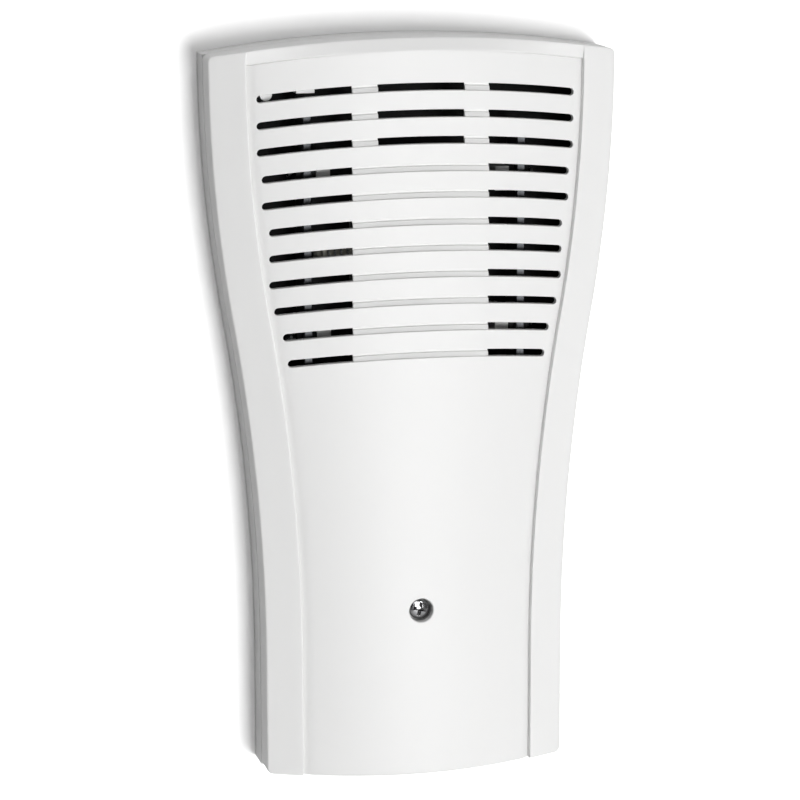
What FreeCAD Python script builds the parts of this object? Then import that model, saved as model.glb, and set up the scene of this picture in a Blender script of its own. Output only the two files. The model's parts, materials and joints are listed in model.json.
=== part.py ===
import FreeCAD, Part

import math
import os
import Sketcher
from types import SimpleNamespace

from FreeCAD import Placement, Rotation, Vector

# Electric door chime for a wall: a moulded base and cover, a solenoid whose plunger strikes two
# steel tone bars, and the terminals for the wiring that comes out of the wall.
#
# Frame: the wall is the plane Y = 0, the front faces -Y and +Z is up. The origin is the middle
# of the back face. A "depth" is a distance from the wall towards the viewer, so it is -Y. A
# "share" is a height above the bottom corners, as a part of the height.

SIZES = {
    # Outline, seen from the front
    "height": 200.0,
    "top_half_width": 55.3,
    "bottom_half_width": 41.6,
    "flare_low_share": 0.165,
    "flare_turn_share": 0.623,
    "flare_high_share": 0.967,
    "top_arc_radius": 343.0,
    "bottom_bow": 1.0,
    # Shells
    "cover_wall": 2.0,
    "side_depth": 17.4,
    "seam_depth": 8.7,
    "seam_gap": 0.3,
    "wing_width": 9.5,
    "wing_rise": 3.0,
    "panel_edge_depth": 19.0,
    "panel_depth": 24.5,
    "band_drop": 3.25,
    "band_arc_radius": 298.0,
    "floor_thick": 2.0,
    "tongue_wall": 1.2,
    "tongue_rise": 2.0,
    "lap_clearance": 0.15,
    # Sound slots
    "slot_height": 2.2,
    "slot_pitch": 7.03,
    "slot_group_step": 0.2,
    "slot_top_share": 0.937,
    "slot_arc_radius": 330.0,
    "slot_margin_top": 2.2,
    "slot_margin_second": 2.4,
    "slot_margin_third": 1.75,
    "slot_margin_fourth": 1.9,
    "slot_margin_fifth": 2.9,
    "slot_margin_last": 3.0,
    "blind_half_width": 18.75,
    "rib_inner_half_width": 11.6,
    "groove_depth": 1.1,
    # Cover screw, its recess and its post
    "screw_share": 0.2265,
    "recess_radius": 3.3,
    "recess_depth": 3.8,
    "screw_head_radius": 2.95,
    "screw_head_height": 2.1,
    "screw_radius": 1.5,
    "screw_length": 12.0,
    "screw_hole_clearance": 0.2,
    "cross_width": 0.9,
    "cross_reach": 1.9,
    "cross_depth": 1.3,
    "boss_wall": 3.5,
    "post_gap": 0.2,
    "post_wall": 2.5,
    "insert_radius": 2.1,
    "insert_length": 6.0,
    "thread_clearance": 0.05,
    # Striker mechanism
    "mech_share": 0.71,
    "mech_depth": 12.4,
    "core_radius": 2.9,
    "core_length": 28.0,
    "core_clearance": 0.15,
    "bobbin_wall": 0.75,
    "bobbin_flange": 1.2,
    "bobbin_length": 26.8,
    "bobbin_flange_radius": 7.0,
    "nose_clearance": 0.1,
    "coil_radius": 6.5,
    "coil_clearance": 0.1,
    "yoke_sheet": 1.2,
    "yoke_plate_height": 26.0,
    "yoke_cheek_height": 15.0,
    "yoke_cheek_top": 19.0,
    "yoke_pad_height": 2.0,
    "yoke_screw_spacing": 21.0,
    "small_screw_radius": 1.25,
    "small_head_radius": 2.6,
    "small_head_height": 1.7,
    "small_screw_length": 4.4,
    "slot_cut_width": 0.7,
    "slot_cut_depth": 0.8,
    "striker_radius": 1.6,
    "spigot_radius": 1.2,
    "spigot_length": 3.0,
    "collar_radius": 4.0,
    "collar_thick": 1.0,
    "low_rest_gap": 1.3,
    "stroke": 6.0,
    "strike_clearance": 0.05,
    "tip_beyond_collar": 1.8,
    "spring_wire": 0.45,
    "spring_radius": 3.35,
    "spring_turns": 5.0,
    "spring_seat_gap": 0.05,
    # Tone bars and what carries them
    "bar_face_distance": 28.0,
    "bar_thick": 2.5,
    "bar_width": 10.5,
    "low_bar_length": 84.0,
    "high_bar_length": 70.0,
    "node_share": 0.276,
    "grommet_hole_radius": 2.6,
    "grommet_flange": 1.4,
    "grommet_flange_radius": 3.9,
    "pin_radius": 1.25,
    "pin_clearance": 0.1,
    "pillar_gap": 0.2,
    "pillar_thick": 3.7,
    "pillar_height": 6.5,
    "clip_gap": 0.9,
    "clip_thick": 0.8,
    "clip_radius": 2.4,
    "pin_end": 0.7,
    # Wiring
    "entry_share": 0.55,
    "entry_radius": 8.0,
    "bush_bore_radius": 6.0,
    "bush_flange_radius": 10.0,
    "bush_flange": 1.5,
    "clamp_share": 0.46,
    "clamp_length": 25.0,
    "clamp_height": 7.0,
    "clamp_thick": 2.4,
    "clamp_screw_spacing": 18.0,
    "clamp_boss_radius": 2.9,
    "clamp_boss_height": 3.0,
    "clamp_groove_radius": 4.5,
    "block_share": 0.35,
    "block_length": 26.0,
    "block_height": 12.0,
    "block_depth": 10.5,
    "barrel_radius": 2.0,
    "barrel_length": 9.0,
    "barrel_clearance": 0.05,
    "barrel_depth": 4.6,
    "pole_spacing": 15.0,
    "wire_hole_radius": 1.1,
    "terminal_screw_radius": 1.0,
    "terminal_head_radius": 1.7,
    "terminal_head_height": 1.6,
    "terminal_screw_length": 3.0,
    "lead_radius": 0.6,
    "lead_bow": 15.5,
    # Wall fixing and the stop seen behind the top slot
    "fix_high_share": 0.805,
    "fix_low_share": 0.1,
    "fix_slot_radius": 2.1,
    "fix_slot_length": 8.0,
    "stop_inset": 15.2,
    "stop_share": 0.927,
    "stop_radius": 1.6,
    "stop_gap": 0.4,
    "stop_rib_offset": 7.7,
    "stop_rib_rise": 0.35,
    "stop_rib_length": 4.9,
    "stop_rib_thick": 1.5,
}

# Which length each row of slots has, from the top row down
SLOT_GROUPS = (0, 0, 0, 1, 1, 2, 2, 2, 3, 4, 5)
RIBBED_ROWS = 3
LOFT_SECTIONS = 13
OVERLAP = 1.0

doc = FreeCAD.newDocument("DoorChime")
sheet = doc.addObject("Spreadsheet::Sheet", "Sizes")


class Size:
    """A length that knows the expression which ties it to the sheet."""

    def __init__(self, value, text):
        self.value = value
        self.text = text

    @staticmethod
    def of(item):
        if isinstance(item, Size):
            return item
        return Size(float(item), repr(float(item)))

    def joined(self, sign, other, value):
        return Size(value, "(%s %s %s)" % (self.text, sign, Size.of(other).text))

    def __add__(self, other):
        return self.joined("+", other, self.value + Size.of(other).value)

    def __sub__(self, other):
        return self.joined("-", other, self.value - Size.of(other).value)

    def __mul__(self, other):
        return self.joined("*", other, self.value * Size.of(other).value)

    def __truediv__(self, other):
        return self.joined("/", other, self.value / Size.of(other).value)

    def __neg__(self):
        return Size(0.0, "0") - self

    def __radd__(self, other):
        return Size.of(other) + self

    def __rsub__(self, other):
        return Size.of(other) - self

    def __rmul__(self, other):
        return Size.of(other) * self


def fill_sheet():
    """Write each driving size in its own cell and give it back as a named Size."""
    named = {}
    for row, (alias, value) in enumerate(SIZES.items(), start=1):
        sheet.set("A%d" % row, alias)
        sheet.set("B%d" % row, str(value))
        sheet.setAlias("B%d" % row, alias)
        named[alias] = Size(value, "Sizes." + alias)
    doc.recompute()
    return SimpleNamespace(**named)


s = fill_sheet()


# Places that more than one piece works from

def level(share):
    """The Z of a share of the height, counted from the bottom corners."""
    return s.height * (share - 0.5)


wing_inner_depth = s.side_depth + s.wing_rise
base_rim_depth = s.seam_depth - s.seam_gap / 2
cover_rim_depth = s.seam_depth + s.seam_gap / 2
tongue_inset = s.cover_wall + s.lap_clearance
rim_inset = tongue_inset + s.tongue_wall
recess_floor = s.panel_depth - s.recess_depth
screw_hole_radius = s.screw_radius + s.screw_hole_clearance
boss_bottom = recess_floor - s.boss_wall
post_top = boss_bottom - s.post_gap
insert_bottom = post_top - s.insert_length
insert_bore = s.screw_radius + s.thread_clearance
screw_z = level(s.screw_share)

mech_z = level(s.mech_share)
yoke_back = s.floor_thick + s.yoke_pad_height
bobbin_bore = s.core_radius + s.core_clearance
bobbin_tube = bobbin_bore + s.bobbin_wall
nose_radius = bobbin_bore + s.bobbin_wall / 2
cheek_hole = nose_radius + s.nose_clearance
cheek_inner = s.bobbin_length / 2
cheek_outer = cheek_inner + s.yoke_sheet
low_tip = s.low_rest_gap - s.bar_face_distance
high_tip = s.bar_face_distance - s.strike_clearance - s.stroke
core_left = (low_tip + high_tip) / 2 - s.core_length / 2
core_right = core_left + s.core_length
collar_face = low_tip + s.tip_beyond_collar + s.collar_thick

grommet_inner = s.bar_face_distance - s.grommet_flange
grommet_outer = s.bar_face_distance + s.bar_thick + s.grommet_flange
pillar_outer = grommet_inner - s.pillar_gap
pillar_inner = pillar_outer - s.pillar_thick
clip_inner = grommet_outer + s.clip_gap
pin_tip = clip_inner + s.clip_thick + s.pin_end

stop_offset = s.top_half_width - s.stop_inset

block_top = s.floor_thick + s.block_depth
barrel_axis = s.floor_thick + s.barrel_depth


# Helpers for the parametric features

def bind(item, **sizes):
    """Tie properties of a feature to the sheet; a double underscore stands for a dot."""
    for name, size in sizes.items():
        item.setExpression(name.replace("__", "."), Size.of(size).text)


def place(item, x=0, depth=0, z=0):
    """Put a body or primitive at a place in the part's frame."""
    bind(item, Placement__Base__x=x, Placement__Base__y=-Size.of(depth), Placement__Base__z=z)


def new_body(label):
    body = doc.addObject("PartDesign::Body", label)
    body.Label = label
    return body


def new_sketch(body, role, name, offset=None):
    """A sketch on one of the body's own origin planes, moved along the plane's normal."""
    sketch = body.newObject("Sketcher::SketchObject", name)
    plane = [item for item in body.Origin.OriginFeatures if item.Role == role][0]
    sketch.AttachmentSupport = (plane, [""])
    sketch.MapMode = "FlatFace"
    if offset is not None:
        bind(sketch, AttachmentOffset__Base__z=offset)
    return sketch


def pin_point(sketch, geometry, point, x, y):
    """Fix one point of a sketch at a bound place."""
    for kind, size in (("DistanceX", x), ("DistanceY", y)):
        size = Size.of(size)
        index = sketch.addConstraint(Sketcher.Constraint(kind, -1, 1, geometry, point, size.value))
        sketch.setExpression("Constraints[%d]" % index, size.text)


def draw_polygon(sketch, corners):
    """A closed outline of straight lines with every corner bound."""
    corners = [(Size.of(x), Size.of(y)) for x, y in corners]
    first = sketch.GeometryCount
    count = len(corners)
    for number, (x, y) in enumerate(corners):
        next_x, next_y = corners[(number + 1) % count]
        start = Vector(x.value, y.value, 0)
        end = Vector(next_x.value, next_y.value, 0)
        sketch.addGeometry(Part.LineSegment(start, end), False)
    for number in range(count):
        after = first + (number + 1) % count
        sketch.addConstraint(Sketcher.Constraint("Coincident", first + number, 2, after, 1))
    for number, (x, y) in enumerate(corners):
        pin_point(sketch, first + number, 1, x, y)


def draw_rectangle(sketch, x_low, x_high, y_low, y_high):
    draw_polygon(sketch, [(x_low, y_low), (x_high, y_low), (x_high, y_high), (x_low, y_high)])


def draw_circle(sketch, x, y, radius):
    x, y, radius = Size.of(x), Size.of(y), Size.of(radius)
    centre = Vector(x.value, y.value, 0)
    circle = sketch.addGeometry(Part.Circle(centre, Vector(0, 0, 1), radius.value), False)
    pin_point(sketch, circle, 3, x, y)
    index = sketch.addConstraint(Sketcher.Constraint("Radius", circle, radius.value))
    sketch.setExpression("Constraints[%d]" % index, radius.text)


def extrude(body, kind, sketch, length, reverse=False, midplane=False):
    """A Pad or a Pocket of a sketch."""
    feature = body.newObject("PartDesign::" + kind, kind)
    feature.Profile = sketch
    feature.Reversed = reverse
    feature.Midplane = midplane
    bind(feature, Length=length)
    sketch.Visibility = False
    body.Tip = feature
    return feature


def turn(body, corners, axis="H_Axis"):
    """A Revolution of a profile about the sketch's own axis."""
    sketch = new_sketch(body, "XY_Plane", "Profile")
    draw_polygon(sketch, corners)
    feature = body.newObject("PartDesign::Revolution", "Revolution")
    feature.Profile = sketch
    feature.ReferenceAxis = (sketch, [axis])
    feature.Angle = 360.0
    body.Tip = feature
    return feature


def soften(body, kind, size, wanted):
    """Fillet or chamfer the edges of the body's last feature that pass a test."""
    doc.recompute()
    base = body.Tip
    names = []
    for number, edge in enumerate(base.Shape.Edges, start=1):
        if wanted(edge):
            names.append("Edge%d" % number)
    feature = body.newObject("PartDesign::" + kind, kind)
    feature.Base = (base, names)
    bind(feature, **{"Radius" if kind == "Fillet" else "Size": size})
    body.Tip = feature
    return feature


def box(name, x, depth, z):
    """A block between bound limits, each given as a pair (low, high)."""
    item = doc.addObject("Part::Box", name)
    bind(item, Length=x[1] - Size.of(x[0]), Width=depth[1] - Size.of(depth[0]),
         Height=z[1] - Size.of(z[0]))
    place(item, x[0], depth[1], z[0])
    return item


def rod(name, radius, depth, x, z):
    """A round bar that stands out from the wall, between two depths."""
    item = doc.addObject("Part::Cylinder", name)
    item.Placement.Rotation = Rotation(Vector(1, 0, 0), 90)
    bind(item, Radius=radius, Height=depth[1] - Size.of(depth[0]))
    place(item, x, depth[0], z)
    return item


def cross_rod(name, radius, x, depth, z):
    """A round bar along X, between two places."""
    item = doc.addObject("Part::Cylinder", name)
    item.Placement.Rotation = Rotation(Vector(0, 1, 0), 90)
    bind(item, Radius=radius, Height=x[1] - Size.of(x[0]))
    place(item, x[0], depth, z)
    return item


def joined(name, items):
    fuse = doc.addObject("Part::MultiFuse", name)
    fuse.Shapes = items
    return fuse


def cut_away(name, base, tools):
    cut = doc.addObject("Part::Cut", name)
    cut.Base = base
    cut.Tool = tools[0] if len(tools) == 1 else joined(name + "_tools", tools)
    cut.Label = name
    return cut


def part_feature(name, shape):
    item = doc.addObject("Part::Feature", name)
    item.Shape = shape
    return item


# The curved outline and the shells that follow it

def flare():
    """The two tangent arcs that carry the side from its narrow to its wide straight."""
    low = level(s.flare_low_share).value
    high = level(s.flare_high_share).value
    turn_height = level(s.flare_turn_share).value
    widening = s.top_half_width.value - s.bottom_half_width.value
    angle = 2 * math.atan(widening / (high - low))
    lower_radius = (turn_height - low) / math.sin(angle)
    upper_radius = (high - low) / math.sin(angle) - lower_radius
    return SimpleNamespace(low=low, high=high, angle=angle, lower=lower_radius, upper=upper_radius)


def half_width(z, inset):
    """Half the width of the outline at a height, with the side moved inwards."""
    curve = flare()
    join = curve.low + (curve.lower + inset) * math.sin(curve.angle)
    if z <= curve.low:
        return s.bottom_half_width.value - inset
    if z <= join:
        radius = curve.lower + inset
        return s.bottom_half_width.value + curve.lower - math.sqrt(radius ** 2 - (z - curve.low) ** 2)
    radius = curve.upper - inset
    rise = min(z - curve.high, 0.0)
    return s.top_half_width.value - curve.upper + math.sqrt(radius ** 2 - rise ** 2)


def arc_height(radius, crown, x):
    """The height of an arch with its crown on the centre line."""
    return crown - radius + math.sqrt(radius ** 2 - x ** 2)


def corner_height(inset, radius, crown):
    """Where the side meets the arch: stepped towards it until the two agree."""
    z = arc_height(radius, crown, half_width(crown, inset))
    for _ in range(8):
        z = arc_height(radius, crown, half_width(z, inset))
    return z


def foot_height(end_inset, x):
    """The height of the slightly bowed bottom edge, moved inwards."""
    half = s.bottom_half_width.value
    bow = s.bottom_bow.value
    radius = (half ** 2 + bow ** 2) / (2 * bow) - end_inset
    lowest = end_inset - s.height.value / 2 - bow
    return lowest + radius - math.sqrt(radius ** 2 - x ** 2)


def outline_edges(inset, end_inset, depth, top_radius=None, crown=None):
    """The closed outline at a depth, with its sides and its ends moved inwards."""
    curve = flare()
    if top_radius is None:
        top_radius = s.top_arc_radius.value - end_inset
        crown = s.height.value / 2 - end_inset
    corner = corner_height(inset, top_radius, crown)
    bottom = foot_height(end_inset, s.bottom_half_width.value - inset)
    join = curve.low + (curve.lower + inset) * math.sin(curve.angle)
    lower_middle = curve.low + (curve.lower + inset) * math.sin(curve.angle / 2)
    upper_end = min(curve.high, corner)
    upper_middle = (join + upper_end) / 2
    heights = [bottom, curve.low, lower_middle, join, upper_middle, upper_end, corner]

    def side(sign):
        points = [Vector(sign * half_width(z, inset), -depth, z) for z in heights]
        edges = [Part.LineSegment(points[0], points[1]).toShape(),
                 Part.Arc(points[1], points[2], points[3]).toShape(),
                 Part.Arc(points[3], points[4], points[5]).toShape()]
        if corner > curve.high:
            edges.append(Part.LineSegment(points[5], points[6]).toShape())
        return points, edges

    right, right_edges = side(1)
    left, left_edges = side(-1)
    top = Part.Arc(right[-1], Vector(0, -depth, crown), left[-1]).toShape()
    lowest = Vector(0, -depth, foot_height(end_inset, 0))
    foot = Part.Arc(left[0], lowest, right[0]).toShape()
    return [foot] + right_edges + [top] + left_edges[::-1]


def outline_wire(*args, **kwargs):
    return Part.Wire(Part.__sortEdges__(outline_edges(*args, **kwargs)))


def outline_block(inset, end_inset, low, high, **top):
    """A block of the outline's shape between two depths."""
    face = Part.Face(outline_wire(inset, end_inset, low, **top))
    return face.extrude(Vector(0, low - high, 0))


def sloped_block(near, near_inset, far, far_inset, end_inset):
    """A block whose sides slope from one inset outline to another."""
    wires = [outline_wire(near_inset, end_inset, near), outline_wire(far_inset, end_inset, far)]
    return Part.makeLoft(wires, True, True)


def panel_section(z, drop, bottom_depth):
    """A slice through the bulging panel, wider than the panel by the same arc."""
    half = half_width(z, s.wing_width.value)
    bulge = s.panel_depth.value - s.panel_edge_depth.value
    radius = (half ** 2 + bulge ** 2) / (2 * bulge)
    crown = s.panel_depth.value - drop
    reach = half + OVERLAP
    edge = crown - radius + math.sqrt(radius ** 2 - reach ** 2)
    corners = [Vector(sign * reach, -depth, z) for sign, depth in
               ((-1, edge), (1, edge), (1, bottom_depth), (-1, bottom_depth))]
    arch = Part.Arc(corners[0], Vector(0, -crown, z), corners[1]).toShape()
    lines = [Part.LineSegment(corners[a], corners[b]).toShape() for a, b in ((1, 2), (2, 3), (3, 0))]
    return Part.Wire([arch] + lines)


def panel_loft(drop, bottom_depth):
    """The panel's bulge as one smooth solid, a little taller than the part."""
    low = -s.height.value / 2 - s.bottom_bow.value - OVERLAP
    step = (s.height.value / 2 + OVERLAP - low) / (LOFT_SECTIONS - 1)
    wires = [panel_section(low + number * step, drop, bottom_depth) for number in range(LOFT_SECTIONS)]
    return Part.makeLoft(wires, True, False)


def band_crown():
    return s.height.value / 2 - s.band_drop.value


def top_band():
    """The sloping strip between the arched top edge and the panel."""
    low_depth = s.panel_edge_depth.value - OVERLAP
    bulge = s.panel_depth.value - s.panel_edge_depth.value
    half = half_width(s.height.value / 2, s.wing_width.value)
    radius = (half ** 2 + bulge ** 2) / (2 * bulge)
    wires = []
    for number in range(LOFT_SECTIONS):
        x = -half + 2 * half * number / (LOFT_SECTIONS - 1)
        foot = arc_height(s.band_arc_radius.value, band_crown(), x)
        head = arc_height(s.top_arc_radius.value, s.height.value / 2, x)
        panel = s.panel_depth.value - radius + math.sqrt(radius ** 2 - x ** 2)
        points = [Vector(x, -depth, z) for depth, z in
                  ((low_depth, foot), (panel, foot), (wing_inner_depth.value, head), (low_depth, head))]
        wires.append(Part.makePolygon(points + points[:1]))
    return Part.makeLoft(wires, True, False)


def cover_skin():
    """The cover's outside as one solid block."""
    wing_top = wing_inner_depth.value
    inset = s.wing_width.value
    channel_floor = s.panel_edge_depth.value - OVERLAP
    block = outline_block(0, 0, cover_rim_depth.value, s.side_depth.value)
    wings = sloped_block(s.side_depth.value, 0, wing_top, inset, 0)
    channel = outline_block(inset, -OVERLAP, channel_floor, wing_top + OVERLAP)
    panel_limit = outline_block(inset, 0, channel_floor, s.panel_depth.value + OVERLAP,
                                top_radius=s.band_arc_radius.value, crown=band_crown())
    panel = panel_loft(0, channel_floor - OVERLAP).common(panel_limit)
    return block.fuse(wings).cut(channel).multiFuse([panel, top_band()])


def cover_hollow():
    """The space inside the cover, one wall in from its outside."""
    wall = s.cover_wall.value
    slope = s.wing_rise.value / s.wing_width.value
    shoulder = s.side_depth.value - wall * math.sqrt(1 + slope ** 2) + wall * slope
    ceiling = s.panel_edge_depth.value - wall
    sloped_inset = wall + (ceiling - shoulder) / slope
    lower = outline_block(wall, wall, cover_rim_depth.value - OVERLAP, shoulder)
    slanted = sloped_block(shoulder, wall, ceiling, sloped_inset, wall)
    limit = outline_block(s.wing_width.value, wall, s.seam_depth.value, s.panel_depth.value,
                          top_radius=s.band_arc_radius.value - wall, crown=band_crown() - wall / 2)
    upper = panel_loft(wall, s.seam_depth.value).common(limit)
    return lower.multiFuse([slanted, upper])


def slot_crown(row):
    """The height of a slot's middle on the centre line."""
    step = row * s.slot_pitch.value + SLOT_GROUPS[row] * s.slot_group_step.value
    return level(s.slot_top_share).value - step


def slot_reach(row):
    """Half the length of a row's slot: its group's lowest row stops a margin inside the panel."""
    margins = (s.slot_margin_top, s.slot_margin_second, s.slot_margin_third,
               s.slot_margin_fourth, s.slot_margin_fifth, s.slot_margin_last)
    group = SLOT_GROUPS[row]
    lowest = max(number for number, other in enumerate(SLOT_GROUPS) if other == group)
    return half_width(slot_crown(lowest), s.wing_width.value) - margins[group].value


def slot_block(row):
    """One arched slot with round ends, as a block that goes right through the front."""
    half = s.slot_height.value / 2
    radius = s.slot_arc_radius.value
    centre = slot_crown(row) - radius
    angle = math.asin((slot_reach(row) - half) / radius)
    depth = s.seam_depth.value

    def point(along, turned):
        return Vector(along * math.sin(turned), -depth, centre + along * math.cos(turned))

    def end(sign):
        tip = angle + half / radius
        return Part.Arc(point(radius + half, sign * angle), point(radius, sign * tip),
                        point(radius - half, sign * angle)).toShape()

    def long_side(along):
        return Part.Arc(point(along, -angle), point(along, 0), point(along, angle)).toShape()

    edges = [long_side(radius + half), end(1), long_side(radius - half), end(-1)]
    face = Part.Face(Part.Wire(Part.__sortEdges__(edges)))
    return face.extrude(Vector(0, -s.panel_depth.value, 0))


def blind_floor():
    """What stays under the blind stretches: the panel, lowered by the groove's depth."""
    blind = s.blind_half_width.value
    open_middle = s.rib_inner_half_width.value
    lowest = slot_crown(len(SLOT_GROUPS) - 1) - s.slot_pitch.value
    ribbed = (slot_crown(RIBBED_ROWS - 1) + slot_crown(RIBBED_ROWS)) / 2
    highest = slot_crown(0) + s.slot_pitch.value / 2
    full = Part.makeBox(2 * blind, s.panel_depth.value, ribbed - lowest,
                        Vector(-blind, -s.panel_depth.value, lowest))
    rib_width = blind - open_middle
    ribs = [Part.makeBox(rib_width, s.panel_depth.value, highest - ribbed,
                         Vector(x, -s.panel_depth.value, ribbed)) for x in (-blind, open_middle)]
    return panel_loft(s.groove_depth.value, 0).common(full.multiFuse(ribs))


def make_cover():
    """The front shell: its double-curved skin is lofted, the boss and recess are bound."""
    shell = cover_skin().cut(cover_hollow())
    slots = slot_block(0).multiFuse([slot_block(row) for row in range(1, len(SLOT_GROUPS))])
    shell = shell.cut(slots.cut(blind_floor()))
    skin = part_feature("cover_shell", shell)
    boss = rod("cover_boss", s.recess_radius + s.cover_wall,
               (boss_bottom, s.panel_depth - s.cover_wall / 2), 0, screw_z)
    recess = rod("screw_recess", s.recess_radius, (recess_floor, s.panel_depth + OVERLAP), 0, screw_z)
    hole = rod("screw_hole", screw_hole_radius, (boss_bottom - OVERLAP, s.panel_depth), 0, screw_z)
    return cut_away("cover", joined("cover_body", [skin, boss]), [recess, hole])


def base_tray():
    """The base's floor, rim and the tongue that the cover slips over."""
    depth = base_rim_depth.value
    block = outline_block(0, 0, 0, depth)
    inside = outline_block(rim_inset.value, rim_inset.value, s.floor_thick.value, depth + OVERLAP)
    crest = depth + s.tongue_rise.value
    tongue = outline_block(tongue_inset.value, tongue_inset.value, s.floor_thick.value, crest)
    tongue_hole = outline_block(rim_inset.value, rim_inset.value, s.floor_thick.value - OVERLAP,
                                crest + OVERLAP)
    return block.cut(inside).fuse(tongue.cut(tongue_hole))


def bar_levels(length):
    """The two heights at which a bar is carried, at its quiet points."""
    reach = length * s.node_share
    return [mech_z - reach, mech_z + reach]


def bar_sides():
    """Name, side and length of each bar: the low one hangs on the left."""
    return (("low", -1, s.low_bar_length), ("high", 1, s.high_bar_length))


def across(side, near, far):
    """An X range on one side of the centre line, lowest first."""
    return (near, far) if side > 0 else (-far, -near)


def pillars():
    """Four uprights, each with its hole for a pin."""
    solids, holes = [], []
    for name, side, length in bar_sides():
        for number, z in enumerate(bar_levels(length)):
            half = s.pillar_height / 2
            upright = box("pillar_%s_%d" % (name, number), across(side, pillar_inner, pillar_outer),
                          (s.floor_thick - OVERLAP, s.mech_depth + half), (z - half, z + half))
            hole = cross_rod("pillar_hole_%s_%d" % (name, number), s.pin_radius,
                             across(side, pillar_inner - OVERLAP, pillar_outer + OVERLAP),
                             s.mech_depth, z)
            solids.append(upright)
            holes.append(hole)
    return solids, holes


def fixing_slot(name, z):
    """An upright slot through the floor for a wall screw."""
    reach = s.fix_slot_length / 2 - s.fix_slot_radius
    depth = (Size.of(-OVERLAP), s.floor_thick + OVERLAP)
    middle = box(name, (-s.fix_slot_radius, s.fix_slot_radius), depth, (z - reach, z + reach))
    ends = [rod("%s_end_%d" % (name, sign), s.fix_slot_radius, depth, 0, z + reach * sign)
            for sign in (-1, 1)]
    return [middle] + ends


def stop_top(outer):
    """How far a stop may reach, that far from the centre line, before it meets the cover."""
    wall = s.cover_wall.value
    half = half_width(level(s.stop_share).value, s.wing_width.value)
    bulge = s.panel_depth.value - s.panel_edge_depth.value
    radius = (half ** 2 + bulge ** 2) / (2 * bulge)
    return s.panel_depth.value - radius + math.sqrt(radius ** 2 - outer ** 2) - wall - s.stop_gap.value


def make_base():
    """The rear housing: a tray with the posts, pillars, pads and holes for everything inside."""
    floor_low = s.floor_thick - OVERLAP
    tray = part_feature("base_tray", base_tray())
    post = rod("screw_post", s.insert_radius + s.post_wall, (floor_low, post_top), 0, screw_z)
    half_plate = s.yoke_plate_height / 2
    pad = box("yoke_pad", (-cheek_outer, cheek_outer), (floor_low, yoke_back),
              (mech_z - half_plate, mech_z + half_plate))
    uprights, pin_holes = pillars()
    clamp_z = level(s.clamp_share)
    bosses = [rod("clamp_boss_%d" % side, s.clamp_boss_radius,
                  (floor_low, s.floor_thick + s.clamp_boss_height),
                  s.clamp_screw_spacing / 2 * side, clamp_z) for side in (-1, 1)]
    stop_z = level(s.stop_share)
    post_reach = Size.of(stop_top(stop_offset.value + s.stop_radius.value))
    stop = rod("stop_post", s.stop_radius, (floor_low, post_reach), -stop_offset, stop_z)
    rib_start = stop_offset - s.stop_rib_offset
    rib_foot = stop_z + s.stop_rib_rise
    rib = box("stop_rib", (-rib_start, s.stop_rib_length - rib_start),
              (floor_low, Size.of(stop_top(rib_start.value))), (rib_foot, rib_foot + s.stop_rib_thick))
    solid = joined("base_body", [tray, post, pad, stop, rib] + uprights + bosses)
    blind = s.floor_thick / 4
    cuts = list(pin_holes)
    cuts.append(rod("insert_seat", s.insert_radius, (insert_bottom, post_top + OVERLAP), 0, screw_z))
    cuts.append(rod("post_bore", insert_bore, (s.floor_thick, post_top), 0, screw_z))
    for side in (-1, 1):
        z = mech_z + s.yoke_screw_spacing / 2 * side
        cuts.append(rod("yoke_pilot_%d" % side, s.small_screw_radius, (blind, yoke_back + OVERLAP), 0, z))
        x = s.clamp_screw_spacing / 2 * side
        top = s.floor_thick + s.clamp_boss_height + OVERLAP
        cuts.append(rod("clamp_pilot_%d" % side, s.small_screw_radius, (blind, top), x, clamp_z))
    cuts.append(rod("block_pilot", s.small_screw_radius, (blind, s.floor_thick + OVERLAP), 0,
                    level(s.block_share)))
    cuts.append(rod("entry_hole", s.entry_radius, (Size.of(-OVERLAP), s.floor_thick + OVERLAP), 0,
                    level(s.entry_share)))
    cuts += fixing_slot("fixing_high", level(s.fix_high_share))
    cuts += fixing_slot("fixing_low", level(s.fix_low_share))
    return cut_away("base", solid, cuts)


# Screws

def turned_screw(label, head_radius, head_height, radius, length):
    """A round-headed screw along Y: its head's underside is the local origin, head to -Y."""
    body = new_body(label)
    rim = head_height / 3
    turn(body, [(0, -head_height), (head_radius * 0.6, -head_height), (head_radius, -rim),
                (head_radius, 0), (radius, 0), (radius, length - radius / 2),
                (radius / 2, length), (0, length)], "V_Axis")
    return body


def cut_slot(body, head_height, reach, width, depth, angles):
    """Driver slots across the head."""
    for number, upright in enumerate(angles):
        sketch = new_sketch(body, "XZ_Plane", "Driver%d" % number, head_height + OVERLAP)
        if upright:
            draw_rectangle(sketch, -width / 2, width / 2, -reach, reach)
        else:
            draw_rectangle(sketch, -reach, reach, -width / 2, width / 2)
        extrude(body, "Pocket", sketch, depth + OVERLAP)


def make_cover_screw():
    body = turned_screw("cover_screw", s.screw_head_radius, s.screw_head_height, s.screw_radius,
                        s.screw_length)
    cut_slot(body, s.screw_head_height, s.cross_reach, s.cross_width, s.cross_depth, (True, False))
    place(body, 0, recess_floor, screw_z)
    return body


def small_screw(label, x, depth, z, length=None):
    body = turned_screw(label, s.small_head_radius, s.small_head_height, s.small_screw_radius,
                        length or s.small_screw_length)
    cut_slot(body, s.small_head_height, s.small_head_radius + OVERLAP, s.slot_cut_width,
             s.slot_cut_depth, (False,))
    place(body, x, depth, z)
    return body


def group(label, items):
    """Several like solids kept as one node."""
    compound = doc.addObject("Part::Compound", label)
    compound.Links = items
    compound.Label = label
    return compound


# The striker

def make_post_insert():
    body = new_body("post_insert")
    turn(body, [(insert_bore, 0), (s.insert_radius, 0), (s.insert_radius, s.insert_length),
                (insert_bore, s.insert_length)], "V_Axis")
    place(body, 0, post_top, screw_z)
    return body


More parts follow.
